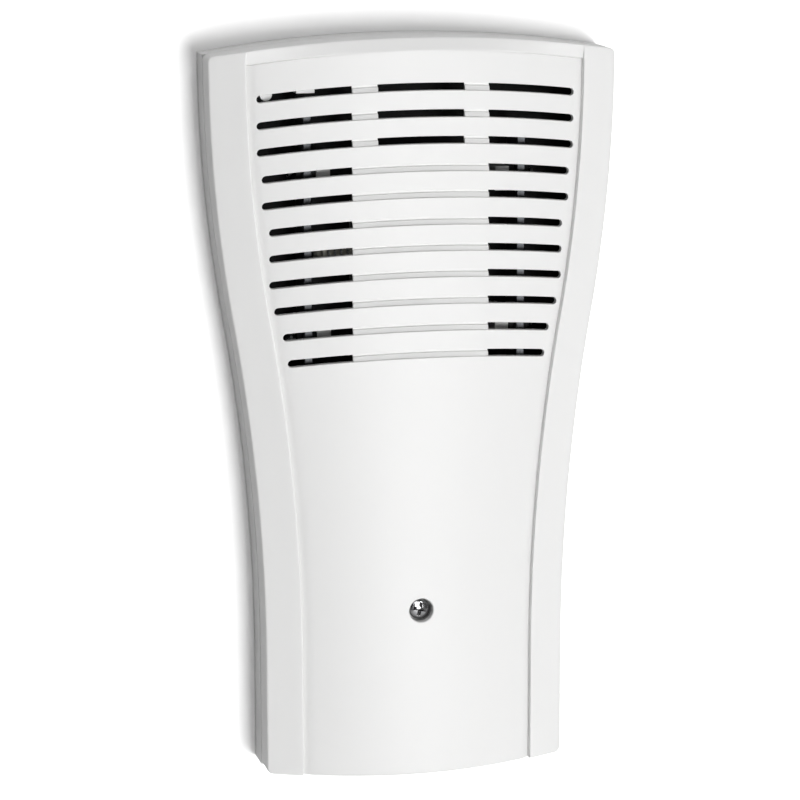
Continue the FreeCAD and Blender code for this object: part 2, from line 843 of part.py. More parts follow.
def make_yoke():
    """A plate on the base with two cheeks bent up from it, one at each end of the coil."""
    body = new_body("yoke")
    half_plate = s.yoke_plate_height / 2
    half_cheek = s.yoke_cheek_height / 2
    plate = new_sketch(body, "XZ_Plane", "Plate", yoke_back)
    draw_rectangle(plate, -cheek_outer, cheek_outer, -half_plate, half_plate)
    extrude(body, "Pad", plate, s.yoke_sheet)
    cheek_foot = yoke_back + s.yoke_sheet
    for side, name in ((-1, "LeftCheek"), (1, "RightCheek")):
        cheek = new_sketch(body, "XZ_Plane", name, cheek_foot)
        low, high = across(side, cheek_inner, cheek_outer)
        draw_rectangle(cheek, low, high, -half_cheek, half_cheek)
        extrude(body, "Pad", cheek, s.yoke_cheek_top - cheek_foot)
    hole = new_sketch(body, "YZ_Plane", "NoseHole")
    draw_circle(hole, -s.mech_depth, 0, cheek_hole)
    extrude(body, "Pocket", hole, 2 * cheek_outer + OVERLAP, midplane=True)
    screws = new_sketch(body, "XZ_Plane", "ScrewHoles", yoke_back + s.yoke_sheet)
    for side in (-1, 1):
        draw_circle(screws, 0, s.yoke_screw_spacing / 2 * side,
                    s.small_screw_radius + s.screw_hole_clearance)
    extrude(body, "Pocket", screws, s.yoke_sheet + OVERLAP)
    place(body, 0, 0, mech_z)
    return body


def make_bobbin():
    """The coil former: a tube with two flanges and a short nose at each end."""
    body = new_body("bobbin")
    half = s.bobbin_length / 2
    inner = half - s.bobbin_flange
    end = cheek_outer
    turn(body, [(-end, bobbin_bore), (end, bobbin_bore), (end, nose_radius), (half, nose_radius),
                (half, s.bobbin_flange_radius), (inner, s.bobbin_flange_radius),
                (inner, bobbin_tube), (-inner, bobbin_tube), (-inner, s.bobbin_flange_radius),
                (-half, s.bobbin_flange_radius), (-half, nose_radius), (-end, nose_radius)])
    place(body, 0, s.mech_depth, mech_z)
    return body


def make_coil():
    """The winding, as the ring that its turns fill between the flanges."""
    body = new_body("coil")
    half = s.bobbin_length / 2 - s.bobbin_flange - s.coil_clearance
    inner = bobbin_tube + s.coil_clearance
    turn(body, [(-half, inner), (half, inner), (half, s.coil_radius), (-half, s.coil_radius)])
    place(body, 0, s.mech_depth, mech_z)
    return body


def make_plunger_core():
    body = new_body("plunger_core")
    bevel = s.core_radius / 6
    depth = s.spigot_length
    turn(body, [(core_left, s.core_radius - bevel), (core_left + bevel, s.core_radius),
                (core_right - bevel, s.core_radius), (core_right, s.core_radius - bevel),
                (core_right, s.spigot_radius), (core_right - depth, s.spigot_radius),
                (core_right - depth, 0), (core_left + depth, 0),
                (core_left + depth, s.spigot_radius), (core_left, s.spigot_radius)])
    place(body, 0, s.mech_depth, mech_z)
    return body


def make_striker_low():
    """The moulded end towards the low bar, with the collar that the spring pushes."""
    body = new_body("striker_low")
    round_end = s.striker_radius / 2
    turn(body, [(low_tip, 0), (low_tip, round_end), (low_tip + round_end, s.striker_radius),
                (collar_face - s.collar_thick, s.striker_radius),
                (collar_face - s.collar_thick, s.collar_radius), (collar_face, s.collar_radius),
                (collar_face, s.striker_radius), (core_left, s.striker_radius),
                (core_left, s.spigot_radius), (core_left + s.spigot_length, s.spigot_radius),
                (core_left + s.spigot_length, 0)])
    place(body, 0, s.mech_depth, mech_z)
    return body


def make_striker_high():
    body = new_body("striker_high")
    round_end = s.striker_radius / 2
    start = core_right - s.spigot_length
    turn(body, [(start, 0), (start, s.spigot_radius), (core_right, s.spigot_radius),
                (core_right, s.striker_radius), (high_tip - round_end, s.striker_radius),
                (high_tip, round_end), (high_tip, 0)])
    place(body, 0, s.mech_depth, mech_z)
    return body


def make_return_spring():
    """A compression spring between the left cheek and the striker's collar."""
    wire = s.spring_wire.value
    seat = -(cheek_outer.value + s.spring_seat_gap.value + wire / 2)
    length = seat - (collar_face.value + s.spring_seat_gap.value + wire / 2)
    pitch = length / s.spring_turns.value
    radius = s.spring_radius.value
    helix = Part.makeHelix(pitch, length, radius)
    section = Part.Wire(Part.makeCircle(wire / 2, Vector(radius, 0, 0), Vector(0, 1, 0)))
    tube = Part.Wire(helix).makePipeShell([section], True, True)
    spring = part_feature("return_spring", tube)
    spring.Label = "return_spring"
    spring.Placement = Placement(Vector(seat, -s.mech_depth.value, mech_z.value),
                                 Rotation(Vector(0, 1, 0), -90))
    turn_length = math.hypot(2 * math.pi * radius, pitch)
    wanted = math.pi * (wire / 2) ** 2 * turn_length * s.spring_turns.value
    print("return_spring volume %.3f, section times length %.3f, gap between turns %.2f"
          % (tube.Volume, wanted, pitch - wire))
    return spring


# Tone bars and what carries them

def make_tone_bar(name, side, length):
    """A flat steel bar that stands on edge, with a hole at each quiet point."""
    body = new_body("tone_bar_" + name)
    near = s.bar_face_distance if side > 0 else -s.bar_face_distance - s.bar_thick
    half_width_of_bar = s.bar_width / 2
    face = new_sketch(body, "YZ_Plane", "Face", near)
    draw_rectangle(face, -half_width_of_bar, half_width_of_bar, -length / 2, length / 2)
    extrude(body, "Pad", face, s.bar_thick)
    holes = new_sketch(body, "YZ_Plane", "Holes", near + s.bar_thick + OVERLAP)
    for sign in (-1, 1):
        draw_circle(holes, 0, length * s.node_share * sign, s.grommet_hole_radius)
    extrude(body, "Pocket", holes, s.bar_thick + 2 * OVERLAP)
    soften(body, "Chamfer", s.bar_thick / 8, lambda edge: is_long_line(edge, s.bar_width.value / 2))
    place(body, 0, s.mech_depth, mech_z)
    return body


def is_long_line(edge, least):
    return edge.Curve.TypeId == "Part::GeomLine" and edge.Length > least


def make_grommets(name, side, length):
    """Rubber rings with a waist that sits in the bar's hole."""
    rings = []
    bore = s.pin_radius + s.pin_clearance
    near, far = across(side, s.bar_face_distance, s.bar_face_distance + s.bar_thick)
    start, end = across(side, grommet_inner, grommet_outer)
    for number, z in enumerate(bar_levels(length)):
        ring = new_body("grommet_%s_%d" % (name, number))
        turn(ring, [(start, bore), (end, bore), (end, s.grommet_flange_radius),
                    (far, s.grommet_flange_radius), (far, s.grommet_hole_radius),
                    (near, s.grommet_hole_radius), (near, s.grommet_flange_radius),
                    (start, s.grommet_flange_radius)])
        place(ring, 0, s.mech_depth, z)
        rings.append(ring)
    return group("grommets_" + name, rings)


def make_bar_pins():
    pins = []
    for name, side, length in bar_sides():
        for number, z in enumerate(bar_levels(length)):
            pins.append(cross_rod("pin_%s_%d" % (name, number), s.pin_radius,
                                  across(side, pillar_inner, pin_tip), s.mech_depth, z))
    return group("bar_pins", pins)


def make_pin_clips():
    """Push-on rings that keep the grommets on their pins."""
    clips = []
    for name, side, length in bar_sides():
        for number, z in enumerate(bar_levels(length)):
            near, far = across(side, clip_inner, clip_inner + s.clip_thick)
            ring = new_body("clip_%s_%d" % (name, number))
            turn(ring, [(near, s.pin_radius), (far, s.pin_radius), (far, s.clip_radius),
                        (near, s.clip_radius)])
            place(ring, 0, s.mech_depth, z)
            clips.append(ring)
    return group("pin_clips", clips)


# Wiring

def make_entry_bush():
    body = new_body("entry_bush")
    top = s.floor_thick + s.bush_flange
    turn(body, [(s.bush_bore_radius, 0), (s.entry_radius, 0), (s.entry_radius, -s.floor_thick),
                (s.bush_flange_radius, -s.floor_thick), (s.bush_flange_radius, -top),
                (s.bush_bore_radius, -top)], "V_Axis")
    place(body, 0, 0, level(s.entry_share))
    return body


def make_cable_clamp():
    """A bar across two bosses, hollowed underneath for the wiring."""
    body = new_body("cable_clamp")
    bottom = s.floor_thick + s.clamp_boss_height
    bar = new_sketch(body, "XZ_Plane", "Bar", bottom)
    half = s.clamp_length / 2
    draw_rectangle(bar, -half, half, -s.clamp_height / 2, s.clamp_height / 2)
    extrude(body, "Pad", bar, s.clamp_thick)
    holes = new_sketch(body, "XZ_Plane", "Holes", bottom + s.clamp_thick)
    for side in (-1, 1):
        draw_circle(holes, s.clamp_screw_spacing / 2 * side, 0,
                    s.small_screw_radius + s.screw_hole_clearance)
    extrude(body, "Pocket", holes, s.clamp_thick + OVERLAP)
    groove = new_sketch(body, "XY_Plane", "Groove")
    draw_circle(groove, 0, s.clamp_groove_radius - s.clamp_thick / 2 - bottom, s.clamp_groove_radius)
    extrude(body, "Pocket", groove, s.clamp_height + OVERLAP, midplane=True)
    place(body, 0, 0, level(s.clamp_share))
    return body


def make_terminal_block():
    """A moulded two-way block: a well and a wire hole for each pole, a screw in the middle."""
    body = new_body("terminal_block")
    half_length = s.block_length / 2
    half_height = s.block_height / 2
    foot = new_sketch(body, "XZ_Plane", "Foot", s.floor_thick)
    draw_rectangle(foot, -half_length, half_length, -half_height, half_height)
    extrude(body, "Pad", foot, s.block_depth)
    wells = new_sketch(body, "XZ_Plane", "Wells", block_top)
    for side in (-1, 1):
        draw_circle(wells, s.pole_spacing / 2 * side, 0, s.terminal_head_radius + s.barrel_clearance)
    extrude(body, "Pocket", wells, block_top - barrel_axis)
    tunnels = new_sketch(body, "XY_Plane", "Tunnels")
    for side in (-1, 1):
        draw_circle(tunnels, s.pole_spacing / 2 * side, -barrel_axis,
                    s.barrel_radius + s.barrel_clearance)
    extrude(body, "Pocket", tunnels, s.block_height + OVERLAP, midplane=True)
    seat = new_sketch(body, "XZ_Plane", "ScrewSeat", block_top)
    draw_circle(seat, 0, 0, s.small_head_radius + s.screw_hole_clearance)
    extrude(body, "Pocket", seat, s.block_depth / 2)
    hole = new_sketch(body, "XZ_Plane", "ScrewHole", block_top)
    draw_circle(hole, 0, 0, s.small_screw_radius + s.screw_hole_clearance)
    extrude(body, "Pocket", hole, s.block_depth + OVERLAP)
    place(body, 0, 0, level(s.block_share))
    return body


def make_terminal_clamps():
    """Brass barrels with a wire hole along them and a screw hole from the front."""
    barrels = []
    for side in (-1, 1):
        body = new_body("barrel_%s" % ("left" if side < 0 else "right"))
        x = s.pole_spacing / 2 * side
        round_bar = new_sketch(body, "XY_Plane", "Barrel", -s.barrel_length / 2)
        draw_circle(round_bar, x, -barrel_axis, s.barrel_radius)
        draw_circle(round_bar, x, -barrel_axis, s.wire_hole_radius)
        extrude(body, "Pad", round_bar, s.barrel_length)
        hole = new_sketch(body, "XZ_Plane", "ScrewHole", barrel_axis + s.barrel_radius)
        draw_circle(hole, x, 0, s.terminal_screw_radius)
        extrude(body, "Pocket", hole, s.barrel_radius)
        place(body, 0, 0, level(s.block_share))
        barrels.append(body)
    return group("terminal_clamps", barrels)


def make_terminal_screws():
    screws = []
    for side in (-1, 1):
        body = turned_screw("pole_screw_%s" % ("left" if side < 0 else "right"),
                            s.terminal_head_radius, s.terminal_head_height,
                            s.terminal_screw_radius, s.terminal_screw_length)
        cut_slot(body, s.terminal_head_height, s.terminal_head_radius + OVERLAP, s.slot_cut_width,
                 s.slot_cut_depth, (False,))
        underside = barrel_axis + s.wire_hole_radius + s.terminal_screw_length
        place(body, s.pole_spacing / 2 * side, underside, level(s.block_share))
        screws.append(body)
    return group("terminal_screws", screws)


def rounded_path(points):
    """Straight runs joined by tangent arcs as large as the runs allow."""
    edges = []
    radii = []
    start = points[0]
    for before, corner, after in zip(points, points[1:], points[2:]):
        back = (before - corner).normalize()
        ahead = (after - corner).normalize()
        half_turn = (math.pi - back.getAngle(ahead)) / 2
        shorter = min(before.distanceToPoint(corner), corner.distanceToPoint(after))
        run = 0.45 * shorter
        radius = run / math.tan(half_turn)
        entry = corner + back * run
        leave = corner + ahead * run
        inward = (back + ahead).normalize()
        middle = corner + inward * (radius / math.cos(half_turn) - radius)
        edges.append(Part.LineSegment(start, entry).toShape())
        edges.append(Part.Arc(entry, middle, leave).toShape())
        radii.append(radius)
        start = leave
    edges.append(Part.LineSegment(start, points[-1]).toShape())
    return Part.Wire(edges), radii


def make_coil_lead(name, side):
    """A wire from the coil, round the cable entry, to its terminal barrel."""
    pole = s.pole_spacing.value / 2
    block = level(s.block_share).value
    barrel_end = block + s.barrel_length.value / 2 + s.barrel_clearance.value
    coil_foot = mech_z.value - s.coil_radius.value - s.coil_clearance.value
    bow = s.lead_bow.value
    entry = level(s.entry_share).value
    low = barrel_axis.value
    high = s.mech_depth.value
    coil_x = s.bobbin_length.value / 4
    route = [(pole, low, barrel_end), (pole, low, barrel_end + 7), (bow, low, barrel_end + 15),
             (bow, low, entry), (bow - 1, low + 1, (entry + coil_foot) / 2 + 3),
             (coil_x, high, coil_foot - 6), (coil_x, high, coil_foot)]
    path, radii = rounded_path([Vector(side * x, -depth, z) for x, depth, z in route])
    section = Part.Wire(Part.makeCircle(s.lead_radius.value, Vector(side * pole, -low, barrel_end),
                                        Vector(0, 0, 1)))
    tube = path.makePipeShell([section], True, False)
    wanted = math.pi * s.lead_radius.value ** 2 * path.Length
    print("%s radii %s, volume %.2f, section times length %.2f"
          % (name, [round(radius, 1) for radius in radii], tube.Volume, wanted))
    lead = part_feature(name, tube)
    lead.Label = name
    return lead


def make_parts():
    yoke_top = yoke_back + s.yoke_sheet
    clamp_top = s.floor_thick + s.clamp_boss_height + s.clamp_thick
    clamp_z = level(s.clamp_share)
    half_spread = s.clamp_screw_spacing / 2
    clamp_screw_length = s.clamp_boss_height + s.clamp_thick + s.floor_thick / 2
    block_seat = block_top - s.block_depth / 2
    nodes = [make_cover(), make_base(), make_cover_screw(), make_post_insert(), make_yoke()]
    nodes.append(group("yoke_screws", [
        small_screw("yoke_screw_%s" % name, 0, yoke_top, mech_z + s.yoke_screw_spacing / 2 * side)
        for name, side in (("low", -1), ("high", 1))]))
    nodes += [make_bobbin(), make_coil(), make_plunger_core(), make_striker_low(),
              make_striker_high(), make_return_spring()]
    for name, side, length in bar_sides():
        nodes.append(make_tone_bar(name, side, length))
        nodes.append(make_grommets(name, side, length))
    nodes += [make_bar_pins(), make_pin_clips(), make_entry_bush(), make_cable_clamp()]
    nodes.append(group("clamp_screws", [
        small_screw("clamp_screw_%s" % name, half_spread * side, clamp_top, clamp_z,
                    clamp_screw_length)
        for name, side in (("left", -1), ("right", 1))]))
    nodes += [make_terminal_block(), make_terminal_clamps(), make_terminal_screws()]
    block_screw_length = s.block_depth / 2 + s.floor_thick * 3 / 4
    nodes.append(small_screw("block_screw", 0, block_seat, level(s.block_share), block_screw_length))
    nodes += [make_coil_lead("coil_lead_left", -1), make_coil_lead("coil_lead_right", 1)]
    return nodes


def check_and_write(nodes):
    """Stop on a failed feature or a bad shape, then write one file for each node."""
    for item in doc.Objects:
        if "Invalid" in item.State or "Error" in item.State:
            raise RuntimeError("failed feature: %s %s" % (item.Name, item.State))
    for node in nodes:
        if node.Shape.isNull() or not node.Shape.isValid():
            raise RuntimeError("bad shape: " + node.Label)
    os.makedirs("parts", exist_ok=True)
    for node in nodes:
        node.Shape.exportStep("parts/%s.step" % node.Label)
        print("%-16s solids %d volume %.1f" % (node.Label, len(node.Shape.Solids), node.Shape.Volume))




all_nodes = make_parts()
doc.recompute()
check_and_write(all_nodes)
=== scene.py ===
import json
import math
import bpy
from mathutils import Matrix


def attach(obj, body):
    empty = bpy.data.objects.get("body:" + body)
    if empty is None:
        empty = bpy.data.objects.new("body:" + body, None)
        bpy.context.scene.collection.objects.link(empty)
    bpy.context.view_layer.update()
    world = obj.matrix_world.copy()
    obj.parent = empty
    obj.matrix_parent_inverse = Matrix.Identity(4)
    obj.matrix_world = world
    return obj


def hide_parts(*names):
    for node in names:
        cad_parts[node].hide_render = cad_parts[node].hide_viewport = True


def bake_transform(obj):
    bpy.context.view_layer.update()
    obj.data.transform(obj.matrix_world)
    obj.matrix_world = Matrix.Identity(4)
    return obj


bl_info = {
    "name": "Door chime",
    "version": (1, 0, 0),
    "blender": (4, 5, 0),
    "location": "View3D > Sidebar > Chime",
    "description": "Builds a wall-mounted two-note door chime around its packed frame",
    "category": "Object",
}

import bmesh
import bpy
from bpy.props import FloatProperty, FloatVectorProperty, PointerProperty
from mathutils import Matrix, Vector

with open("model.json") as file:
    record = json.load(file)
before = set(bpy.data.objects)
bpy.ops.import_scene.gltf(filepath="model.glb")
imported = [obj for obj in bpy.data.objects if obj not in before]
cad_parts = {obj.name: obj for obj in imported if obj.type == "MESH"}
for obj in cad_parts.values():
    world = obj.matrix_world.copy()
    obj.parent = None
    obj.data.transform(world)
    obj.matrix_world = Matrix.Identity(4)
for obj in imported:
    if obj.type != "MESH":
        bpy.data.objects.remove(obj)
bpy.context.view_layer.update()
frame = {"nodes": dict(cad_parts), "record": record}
MM = 0.001


def length(name, millimetres, description):
    """A size property, written in millimetres and kept in metres."""
    return FloatProperty(name=name, description=description, default=millimetres * MM,
                         min=0.0, unit="LENGTH", precision=5)


def colour(name, rgb, description):
    return FloatVectorProperty(name=name, description=description, default=rgb, size=3,
                               min=0.0, max=1.0, subtype="COLOR")


class ChimeCase(bpy.types.PropertyGroup):
    """Sizes of the case, as the CAD has them."""

    height: length("Height", 200.0, "Overall height of the case")
    top_half: length("Top half width", 55.3, "Half the width across the top")
    bottom_half: length("Bottom half width", 41.6, "Half the width across the bottom")
    flare_low: length("Flare start", 33.0, "Height above the bottom where the side starts to flare")
    flare_turn: length("Flare turn", 124.6, "Height where the side's curve turns over")
    flare_high: length("Flare end", 193.4, "Height where the side is upright again")
    top_radius: length("Top arch radius", 343.0, "Radius of the arched top edge")
    side_depth: length("Side depth", 17.4, "Depth of the side wall at its front edge")
    rim_depth: length("Rim depth", 8.85, "Depth of the cover's rear rim")
    wing_width: length("Wing width", 9.5, "Width of the sloping strip down each side")
    wing_rise: length("Wing rise", 3.0, "How far the strip rises towards the panel")
    bottom_bow: length("Bottom bow", 1.0, "How far the bottom edge dips between its corners")
    panel_edge: length("Panel edge depth", 19.3, "Depth of the panel's arc at the strips")
    roll_width: length("Roll width", 2.6, "Width over which the panel rolls down to the strips")
    roll_depth: length("Roll depth", 0.9, "How far the panel rolls down below its arc")
    step_lean: length("Step lean", 0.1, "How far the step beside the strip leans")
    crease_depth: length("Crease depth", 0.32, "Depth of the line under the band, at its ends")
    panel_depth: length("Panel depth", 24.5, "Depth of the panel on the centre line")
    band_drop: length("Band drop", 3.25, "How far below the top edge the band ends")
    top_crown: length("Top edge crown", 2.0, "How much deeper the top edge is on the centre line")
    band_radius: length("Band arch radius", 298.0, "Radius of the line between band and panel")
    wall: length("Wall", 2.0, "Thickness of the moulding")
    edge_round: length("Edge rounding", 0.5, "Rounding of the outer front edge")
    corner_round: length("Corner rounding", 1.6, "Rounding of the four corners")
    slot_height: length("Slot height", 2.02, "Height of a sound slot")
    slot_radius: length("Slot arch radius", 330.0, "Radius of the slots' arch")
    groove_depth: length("Groove depth", 1.85, "Depth of the slots' blind middle at its upper lip")
    groove_middle: length("Groove middle depth", 1.15, "Depth of the blind middle on its centre line")
    groove_low: length("Groove lower depth", 0.75, "Depth of the blind middle at its lower lip")
    groove_fade: FloatProperty(name="Groove fade", default=0.15,
                               description="Share of its depth that a blind groove loses at its ends")
    lip_round: length("Lip rounding", 0.22, "Rounding of the slots' front edges")
    recess_radius: length("Recess radius", 3.3, "Radius of the cover screw's recess")
    recess_depth: length("Recess depth", 3.8, "Depth of the cover screw's recess")


class ChimeFinish(bpy.types.PropertyGroup):
    """Colours of the finishes."""

    case_white: colour("Case white", (0.83, 0.83, 0.825), "Moulded white of the case")
    copper: colour("Copper", (0.42, 0.155, 0.055), "Enamelled winding wire")
    steel: colour("Steel", (0.56, 0.57, 0.585), "Plated steel")
    brass: colour("Brass", (0.62, 0.44, 0.18), "Brass inserts and barrels")
    black: colour("Black plastic", (0.022, 0.022, 0.024), "Bobbin and wire covers")
    cream: colour("Cream plastic", (0.72, 0.70, 0.62), "Terminal block and strikers")
    rubber: colour("Rubber", (0.018, 0.018, 0.018), "Grommets and bush")


class ChimeStage(bpy.types.PropertyGroup):
    """Camera and light."""

    lens: FloatProperty(name="Lens", description="Focal length in millimetres", default=134.6)
    distance: length("Distance", 807.7, "Camera distance from the target")
    turn: FloatProperty(name="Turn", description="Camera's turn to the left, in degrees",
                        default=13.52)
    rise: FloatProperty(name="Rise", description="Camera's height angle, in degrees",
                        default=11.22)
    tilt: FloatProperty(name="Tilt", description="Camera's roll, in degrees", default=-0.11)
    target: FloatVectorProperty(name="Target", description="Point that the camera looks at",
                                default=(-0.0038, -0.0158, 0.00205), size=3,
                                subtype="TRANSLATION", unit="LENGTH")
    ambient: FloatProperty(name="Ambient", description="Strength of the world light", default=0.09)
    key_power: FloatProperty(name="Key light", description="Watts of the key light", default=15.1)
    side_power: FloatProperty(name="Side light", description="Watts of the light from the right",
                              default=1.9)
    top_power: FloatProperty(name="Top light", description="Watts of the light from above",
                             default=3.7)
    glint_power: FloatProperty(name="Glint light", description="Watts of the light beside the lens",
                               default=1.1)
    back_power: FloatProperty(name="Back light", description="Watts of the light behind the wall",
                              default=6.0)


# Small helpers

def new_object(name, mesh):
    obj = bpy.data.objects.new(name, mesh)
    bpy.context.scene.collection.objects.link(obj)
    return obj


def mesh_object(name, vertices, faces):
    mesh = bpy.data.meshes.new(name)
    mesh.from_pydata(vertices, [], faces)
    mesh.validate()
    return new_object(name, mesh)


def ring_faces(levels, count):
    """Faces between the loops of a stack of equal rings."""
    faces = []
    for level in range(levels - 1):
        low, high = level * count, (level + 1) * count
        for number in range(count):
            after = (number + 1) % count
            faces.append((low + number, low + after, high + after, high + number))
    return faces


def ring_solid(name, vertices, levels, count):
    """A closed solid from a stack of equal rings."""
    faces = ring_faces(levels, count)
    faces.append(tuple(range(count)))
    last = (levels - 1) * count
    faces.append(tuple(range(last + count - 1, last - 1, -1)))
    obj = mesh_object(name, vertices, faces)
    outward(obj)
    return obj


def settle(obj):
    """Turn an object's modifiers into plain mesh. A cut that leaves nothing is an error."""
    graph = bpy.context.evaluated_depsgraph_get()
    mesh = bpy.data.meshes.new_from_object(obj.evaluated_get(graph), depsgraph=graph)
    if len(mesh.polygons) == 0:
        raise ValueError("nothing is left of " + obj.name)
    obj.modifiers.clear()
    obj.data = mesh


def smooth(obj, degrees=32.0):
    obj.data.shade_smooth()
    obj.data.set_sharp_from_angle(angle=math.radians(degrees))


def dress(obj, material):
    obj.data.materials.clear()
    obj.data.materials.append(material)


def outward(obj):
    """Merge doubles and point every face of a closed mesh outwards."""
    work = bmesh.new()
    work.from_mesh(obj.data)
    bmesh.ops.remove_doubles(work, verts=work.verts, dist=1e-6)
    bmesh.ops.recalc_face_normals(work, faces=work.faces)
    work.to_mesh(obj.data)
    work.free()


# The case's form

class CaseForm:
    """The outline and the front's depth, worked out from the case's sizes."""

    def __init__(self, case):
        self.case = case
        self.half = case.height / 2
        self.low = case.flare_low - self.half
        self.high = case.flare_high - self.half
        turn = case.flare_turn - self.half
        widening = case.top_half - case.bottom_half
        self.angle = 2 * math.atan(widening / (self.high - self.low))
        self.lower = (turn - self.low) / math.sin(self.angle)
        self.upper = (self.high - self.low) / math.sin(self.angle) - self.lower
        self.wing_top = case.side_depth + case.wing_rise
        self.slope = case.wing_rise / case.wing_width
        bow, base = case.bottom_bow, case.bottom_half
        self.foot_radius = (base ** 2 + bow ** 2) / (2 * bow)
        self.lowest = -self.half - bow

    def half_width(self, z, inset=0.0):
        case = self.case
        join = self.low + (self.lower + inset) * math.sin(self.angle)
        if z <= self.low:
            return case.bottom_half - inset
        if z <= join:
            radius = self.lower + inset
            return case.bottom_half + self.lower - math.sqrt(radius ** 2 - (z - self.low) ** 2)
        radius = self.upper - inset
        rise = min(z - self.high, 0.0)
        return case.top_half - self.upper + math.sqrt(radius ** 2 - rise ** 2)

    @staticmethod
    def drop(radius, x):
        """How far an arch has fallen at a distance from the centre line."""
        return radius - math.sqrt(radius ** 2 - x ** 2)

    def top(self, x):
        return self.half - self.drop(self.case.top_radius, x)

    def band_foot(self, x):
        return self.half - self.case.band_drop - self.drop(self.case.band_radius, x)

    def foot(self, x, inset=0.0):
        """Height of the bowed bottom edge, moved inwards."""
        return self.lowest + inset + self.drop(self.foot_radius - inset, x)

    def arc(self, x, z):
        """Depth of the panel's plain arc."""
        case = self.case
        inner = self.half_width(z, case.wing_width)
        bulge = case.panel_depth - case.panel_edge
        radius = (inner ** 2 + bulge ** 2) / (2 * bulge)
        return case.panel_depth - self.drop(radius, x)

    def panel(self, x, z):
        """Depth of the panel, which rolls down towards both strips."""
        case = self.case
        inner = self.half_width(z, case.wing_width)
        near = max(0.0, (abs(x) - inner) / case.roll_width + 1)
        return self.arc(x, z) - case.roll_depth * near ** 2

    def middle(self, x, z):
        """Depth between the wings: the panel, the line above it, or the band."""
        case = self.case
        foot = self.band_foot(x)
        if z < foot - 0.01 * MM:
            return self.panel(x, z)
        if z < foot + 0.01 * MM:
            inner = self.half_width(z, case.wing_width)
            return self.panel(x, z) - case.crease_depth * abs(x / inner) ** 1.5
        share = min((z - foot) / (self.top(x) - foot), 1.0)
        inner = self.half_width(z, case.wing_width)
        crown = self.wing_top + case.top_crown * (1 - (x / inner) ** 2)
        return self.arc(x, foot) * (1 - share) + crown * share

    def wing(self, x, z):
        return self.case.side_depth + (self.half_width(z) - abs(x)) * self.slope

    def front(self, x, z):
        if abs(x) > self.half_width(z, self.case.wing_width):
            return self.wing(x, z)
        return self.middle(x, z)


def rounded_corner(before, corner, after, radius, segments):
    """Points of an arc-like curve that rounds one corner of a profile."""
    back = Vector(before) - Vector(corner)
    ahead = Vector(after) - Vector(corner)
    reach = min(radius, 0.45 * back.length, 0.45 * ahead.length)
    start = Vector(corner) + back.normalized() * reach
    end = Vector(corner) + ahead.normalized() * reach
    points = []
    for number in range(segments + 1):
        t = number / segments
        point = start * (1 - t) ** 2 + Vector(corner) * 2 * t * (1 - t) + end * t ** 2
        points.append((point.x, point.y))
    return points


# The grid of the front. The wing's columns are insets from the side in millimetres, and the
# first three of them are also the rows along the top and the bottom edge. The wing ends in a
# rounded crest and a rounded crease.
WING_INSETS = (0.5, 1.0, 1.6, 2.8, 4.2, 5.6, 7.0, 8.2)
EDGE_INSETS = WING_INSETS[:3]
CREST_ROUND, CREST_STEPS = 0.3, 4
CREASE_ROUND, CREASE_STEPS = 0.12, 2
WING_COLUMNS = len(WING_INSETS) + CREST_STEPS + 1 + CREASE_STEPS + 1
PANEL_COLUMNS = 34
GRID_COLUMNS = 2 * WING_COLUMNS + PANEL_COLUMNS - 1
PANEL_ROWS = 98
# Rows about the line between panel and band, in millimetres above it
BAND_ROWS = (-0.5, -0.2, 0.0, 0.2, 0.45, 0.85, 1.3)
# The rows lose the bottom edge's bow over the first of these heights and take up the band's
# arch over the second, in millimetres.
BOW_REACH = 20
BAND_REACH = 6


def wing_profile(form, z):
    """Inset and depth of each column from the outer edge to just past the step."""
    case = form.case
    inner = case.wing_width
    floor = form.middle(form.half_width(z, inner), z)
    floor = min(floor, form.wing_top - 0.02 * MM)
    points = [(inset * MM, case.side_depth + inset * MM * form.slope) for inset in WING_INSETS]
    crest = (inner, form.wing_top)
    crease = (inner + case.step_lean, floor)
    rise = form.middle(form.half_width(z, inner) - 1 * MM, z) - floor
    beyond = (inner + case.step_lean + 1.0 * MM, floor + rise)
    points += rounded_corner((0, case.side_depth), crest, crease, CREST_ROUND * MM, CREST_STEPS)
    points += rounded_corner(crest, crease, beyond, CREASE_ROUND * MM, CREASE_STEPS)
    return points


def row_heights(form):
    """Crown height of each row of the front, from the bottom edge to the top edge."""
    half = form.half
    foot = half - form.case.band_drop
    lowest = form.lowest
    edge = EDGE_INSETS[-1] * MM
    below = foot + BAND_ROWS[0] * MM
    rows = [lowest + inset * MM for inset in EDGE_INSETS]
    for number in range(1, PANEL_ROWS + 1):
        rows.append(lowest + edge + (below - lowest - edge) * number / PANEL_ROWS)
    rows += [foot + rise * MM for rise in BAND_ROWS]
    rows += [half - inset * MM for inset in reversed(EDGE_INSETS)]
    return rows


def row_z(form, crown, x):
    """Height of a row at a distance from the centre: bowed low down, arched like the slots above."""
    case = form.case
    half = form.half
    foot = half - case.band_drop
    if crown >= foot:
        share = (crown - foot) / (half - foot)
        bow = form.drop(case.band_radius, x) * (1 - share) + form.drop(case.top_radius, x) * share
        return crown - bow
    start = -half + BOW_REACH * MM
    low = min(max((crown - form.lowest) / (start - form.lowest), 0.0), 1.0)
    crown += form.drop(form.foot_radius, x) * (1 - low)
    blend = min(max((crown - start) / (0.0 - start), 0.0), 1.0)
    blend = blend * blend * (3 - 2 * blend)
    near = min(max((crown - (foot - BAND_REACH * MM)) / (BAND_REACH * MM), 0.0), 1.0)
    radius = case.slot_radius * (1 - near) + case.band_radius * near
    return crown - form.drop(radius, x) * blend


